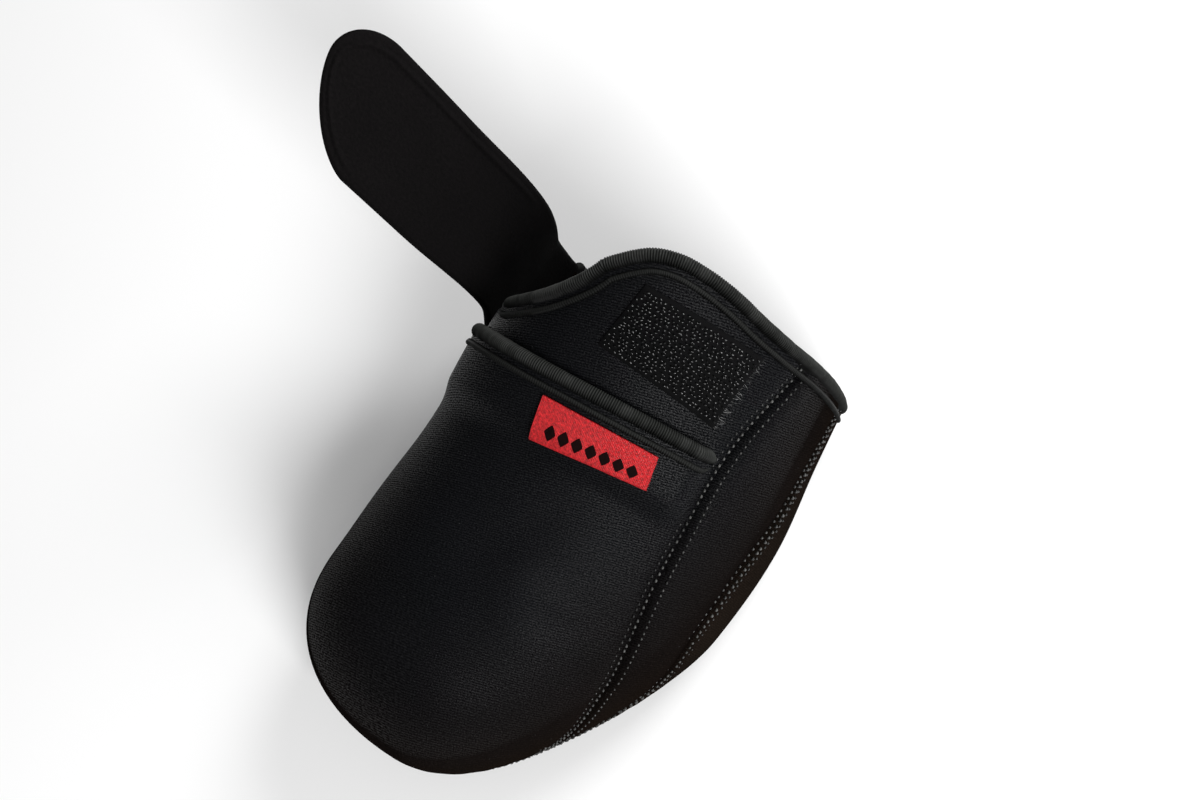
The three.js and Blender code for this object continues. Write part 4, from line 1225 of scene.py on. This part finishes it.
class COVER_OT_label(bpy.types.Operator):
    """Make the folded satin label under the toe panel's binding"""

    bl_idname = "cover.label"
    bl_label = "Label"

    def execute(self, context):
        look, rng = finishes(), np.random.default_rng(17)
        wide, long = 33.0, 10.5
        u, v = np.meshgrid(np.linspace(0, 1, 67), np.linspace(0, 1, 31))
        q, a = laid_spots(LABEL_CORNERS, u, v)
        panel = lift(q, a) + WALL + soft_relief(q.ravel(), a.ravel()).reshape(q.shape)
        fold = np.sqrt(np.clip(1 - (1 - np.minimum(v * long / 0.55, 1)) ** 2, 0.02, 1))
        middle = panel + 0.62 + label_rise(u, v)
        label = laid_piece("satin_label", u, v, (q, a), middle - 0.42 * fold, middle + 0.42 * fold, wide, long,
                           look.satin, "satin", ["label"])

        marks = []
        count = context.scene.cover_sizes.lozenges
        for k in range(count):
            cu, cv = mix(0.15, 0.84, k / (count - 1)), 0.33
            ring = []
            for j in range(24):
                t = 2 * math.pi * j / 24
                x = math.copysign(abs(math.cos(t)) ** 1.7, math.cos(t)) * 1.6 / wide
                y = math.copysign(abs(math.sin(t)) ** 1.7, math.sin(t)) * 1.95 / long
                ring.append((cu + x, cv + y))
            at = np.array(ring + [(cu, cv)])
            q0, a0 = laid_spots(LABEL_CORNERS, at[:, 0], at[:, 1])
            level = lift(q0, a0) + WALL + soft_relief(q0, a0) + 0.62 + label_rise(*at.T) + 0.42
            high = level + np.array([0.03] * 24 + [0.12])
            upper, lower = off_last(q0, a0, high), off_last(q0, a0, level - 0.05)
            i = np.arange(24)
            fan = np.stack([i, (i + 1) % 24, np.full(24, 24)], 1)
            marks.append((*shell(fan, lower, upper), np.zeros(50)))
        lozenges = add_joined("label_lozenges", marks, look.lozenge, "satin")

        threads = []
        for k in range(22):
            v0 = rng.uniform(0.03, 0.9)
            q0, a0 = laid_spot(LABEL_CORNERS, 0.003, v0)
            level = lift(q0, a0) + WALL + 0.62 + label_rise(0.003, v0) + rng.uniform(-0.3, 0.3)
            foot = off_last(q0, a0, level)[0]
            away = outwards(q0, a0)
            swing = np.array([0.0, rng.uniform(-0.3, 0.3), rng.uniform(-0.1, 0.3)])
            s = np.linspace(0, 1, 4)[:, None]
            threads.append(tube(foot + away * rng.uniform(0.15, 0.5) * s + 0.5 * swing * s * s, 0.05, 4))
        frayed = add_joined("label_threads", threads, look.satin, "satin")
        return {"FINISHED"}


class COVER_OT_stage(bpy.types.Operator):
    """Make the floor, the lights and the camera"""

    bl_idname = "cover.stage"
    bl_label = "Stage"

    def execute(self, context):
        settings, scene = context.scene.cover_stage, context.scene
        mesh = bpy.data.meshes.new("floor")
        half = 3.0
        mesh.from_pydata([(-half, -half, 0), (half, -half, 0), (half, half, 0), (-half, half, 0)], [], [(0, 1, 2, 3)])
        material = bpy.data.materials.new("floor_paper")
        material.use_nodes = True
        shader = material.node_tree.nodes["Principled BSDF"]
        shader.inputs["Base Color"].default_value = (*settings.floor, 1)
        shader.inputs["Roughness"].default_value = 0.9
        mesh.materials.append(material)
        floor = bpy.data.objects.new("floor", mesh)
        scene.collection.objects.link(floor)

        world = bpy.data.worlds.new("surround")
        world.use_nodes = True
        world.node_tree.nodes["Background"].inputs["Color"].default_value = (1, 1, 1, 1)
        world.node_tree.nodes["Background"].inputs["Strength"].default_value = settings.sky
        scene.world = world
        scene.view_settings.view_transform = "Standard"

        middle, distance = Vector((TIP_X, 40, 30)) * MM, 1.1
        for name, direction, size, power in (
                ("key_light", (0.70, -0.34, 0.63), 0.5, settings.key_power),
                ("rear_light", (0.15, 0.80, 0.55), 0.5, settings.rear_power)):
            lamp = bpy.data.lights.new(name, "AREA")
            lamp.shape, lamp.size, lamp.energy = "SQUARE", size, power
            light = bpy.data.objects.new(name, lamp)
            light.location = middle + Vector(direction).normalized() * distance
            light.rotation_euler = Vector(direction).to_track_quat("Z", "Y").to_euler()
            scene.collection.objects.link(light)

        target = np.array([TIP_X, 60.33, 24.6]) * MM
        back = unit(np.array([math.tan(math.radians(15)), -math.tan(math.radians(6)), 1.0]))
        up = np.array([-0.5, 0.866, 0.0])
        up = unit(up - back * (up @ back))
        right = np.cross(up, back)
        camera_data = bpy.data.cameras.new("camera")
        camera_data.lens = settings.lens
        camera_data.sensor_width = 36
        camera_data.sensor_fit = "HORIZONTAL"
        camera_data.clip_start = 0.01
        camera = bpy.data.objects.new("camera", camera_data)
        turn = Matrix((right, up, back)).transposed().to_4x4()
        camera.matrix_world = Matrix.Translation(Vector(target + settings.distance * back)) @ turn
        scene.collection.objects.link(camera)
        scene.camera = camera
        return {"FINISHED"}


class COVER_PT_panel(bpy.types.Panel):
    """Settings and steps of the toe cover"""

    bl_label = "Toe cover"
    bl_space_type = "VIEW_3D"
    bl_region_type = "UI"
    bl_category = "Toe cover"

    def draw(self, context):
        layout = self.layout
        for settings in (context.scene.cover_sizes, context.scene.cover_colours, context.scene.cover_stage):
            box = layout.box()
            for name in settings.__annotations__:
                box.prop(settings, name)
        for step in STEPS:
            layout.operator(step.bl_idname)


STEPS = (COVER_OT_stage, COVER_OT_panels, COVER_OT_bindings, COVER_OT_strap, COVER_OT_stitching,
         COVER_OT_hook_patch, COVER_OT_label)
CLASSES = (CoverSizes, CoverColours, StageSettings, *STEPS, COVER_PT_panel)


def register():
    for c in CLASSES:
        bpy.utils.register_class(c)
    bpy.types.Scene.cover_sizes = PointerProperty(type=CoverSizes)
    bpy.types.Scene.cover_colours = PointerProperty(type=CoverColours)
    bpy.types.Scene.cover_stage = PointerProperty(type=StageSettings)


def unregister():
    del bpy.types.Scene.cover_sizes, bpy.types.Scene.cover_colours, bpy.types.Scene.cover_stage
    for c in reversed(CLASSES):
        bpy.utils.unregister_class(c)


def main():
    register()
    bpy.ops.cover.stage()
    bpy.ops.cover.panels()
    bpy.ops.cover.bindings()
    bpy.ops.cover.strap()
    bpy.ops.cover.stitching()
    bpy.ops.cover.hook_patch()
    bpy.ops.cover.label()


if __name__ == "__main__":
    main()
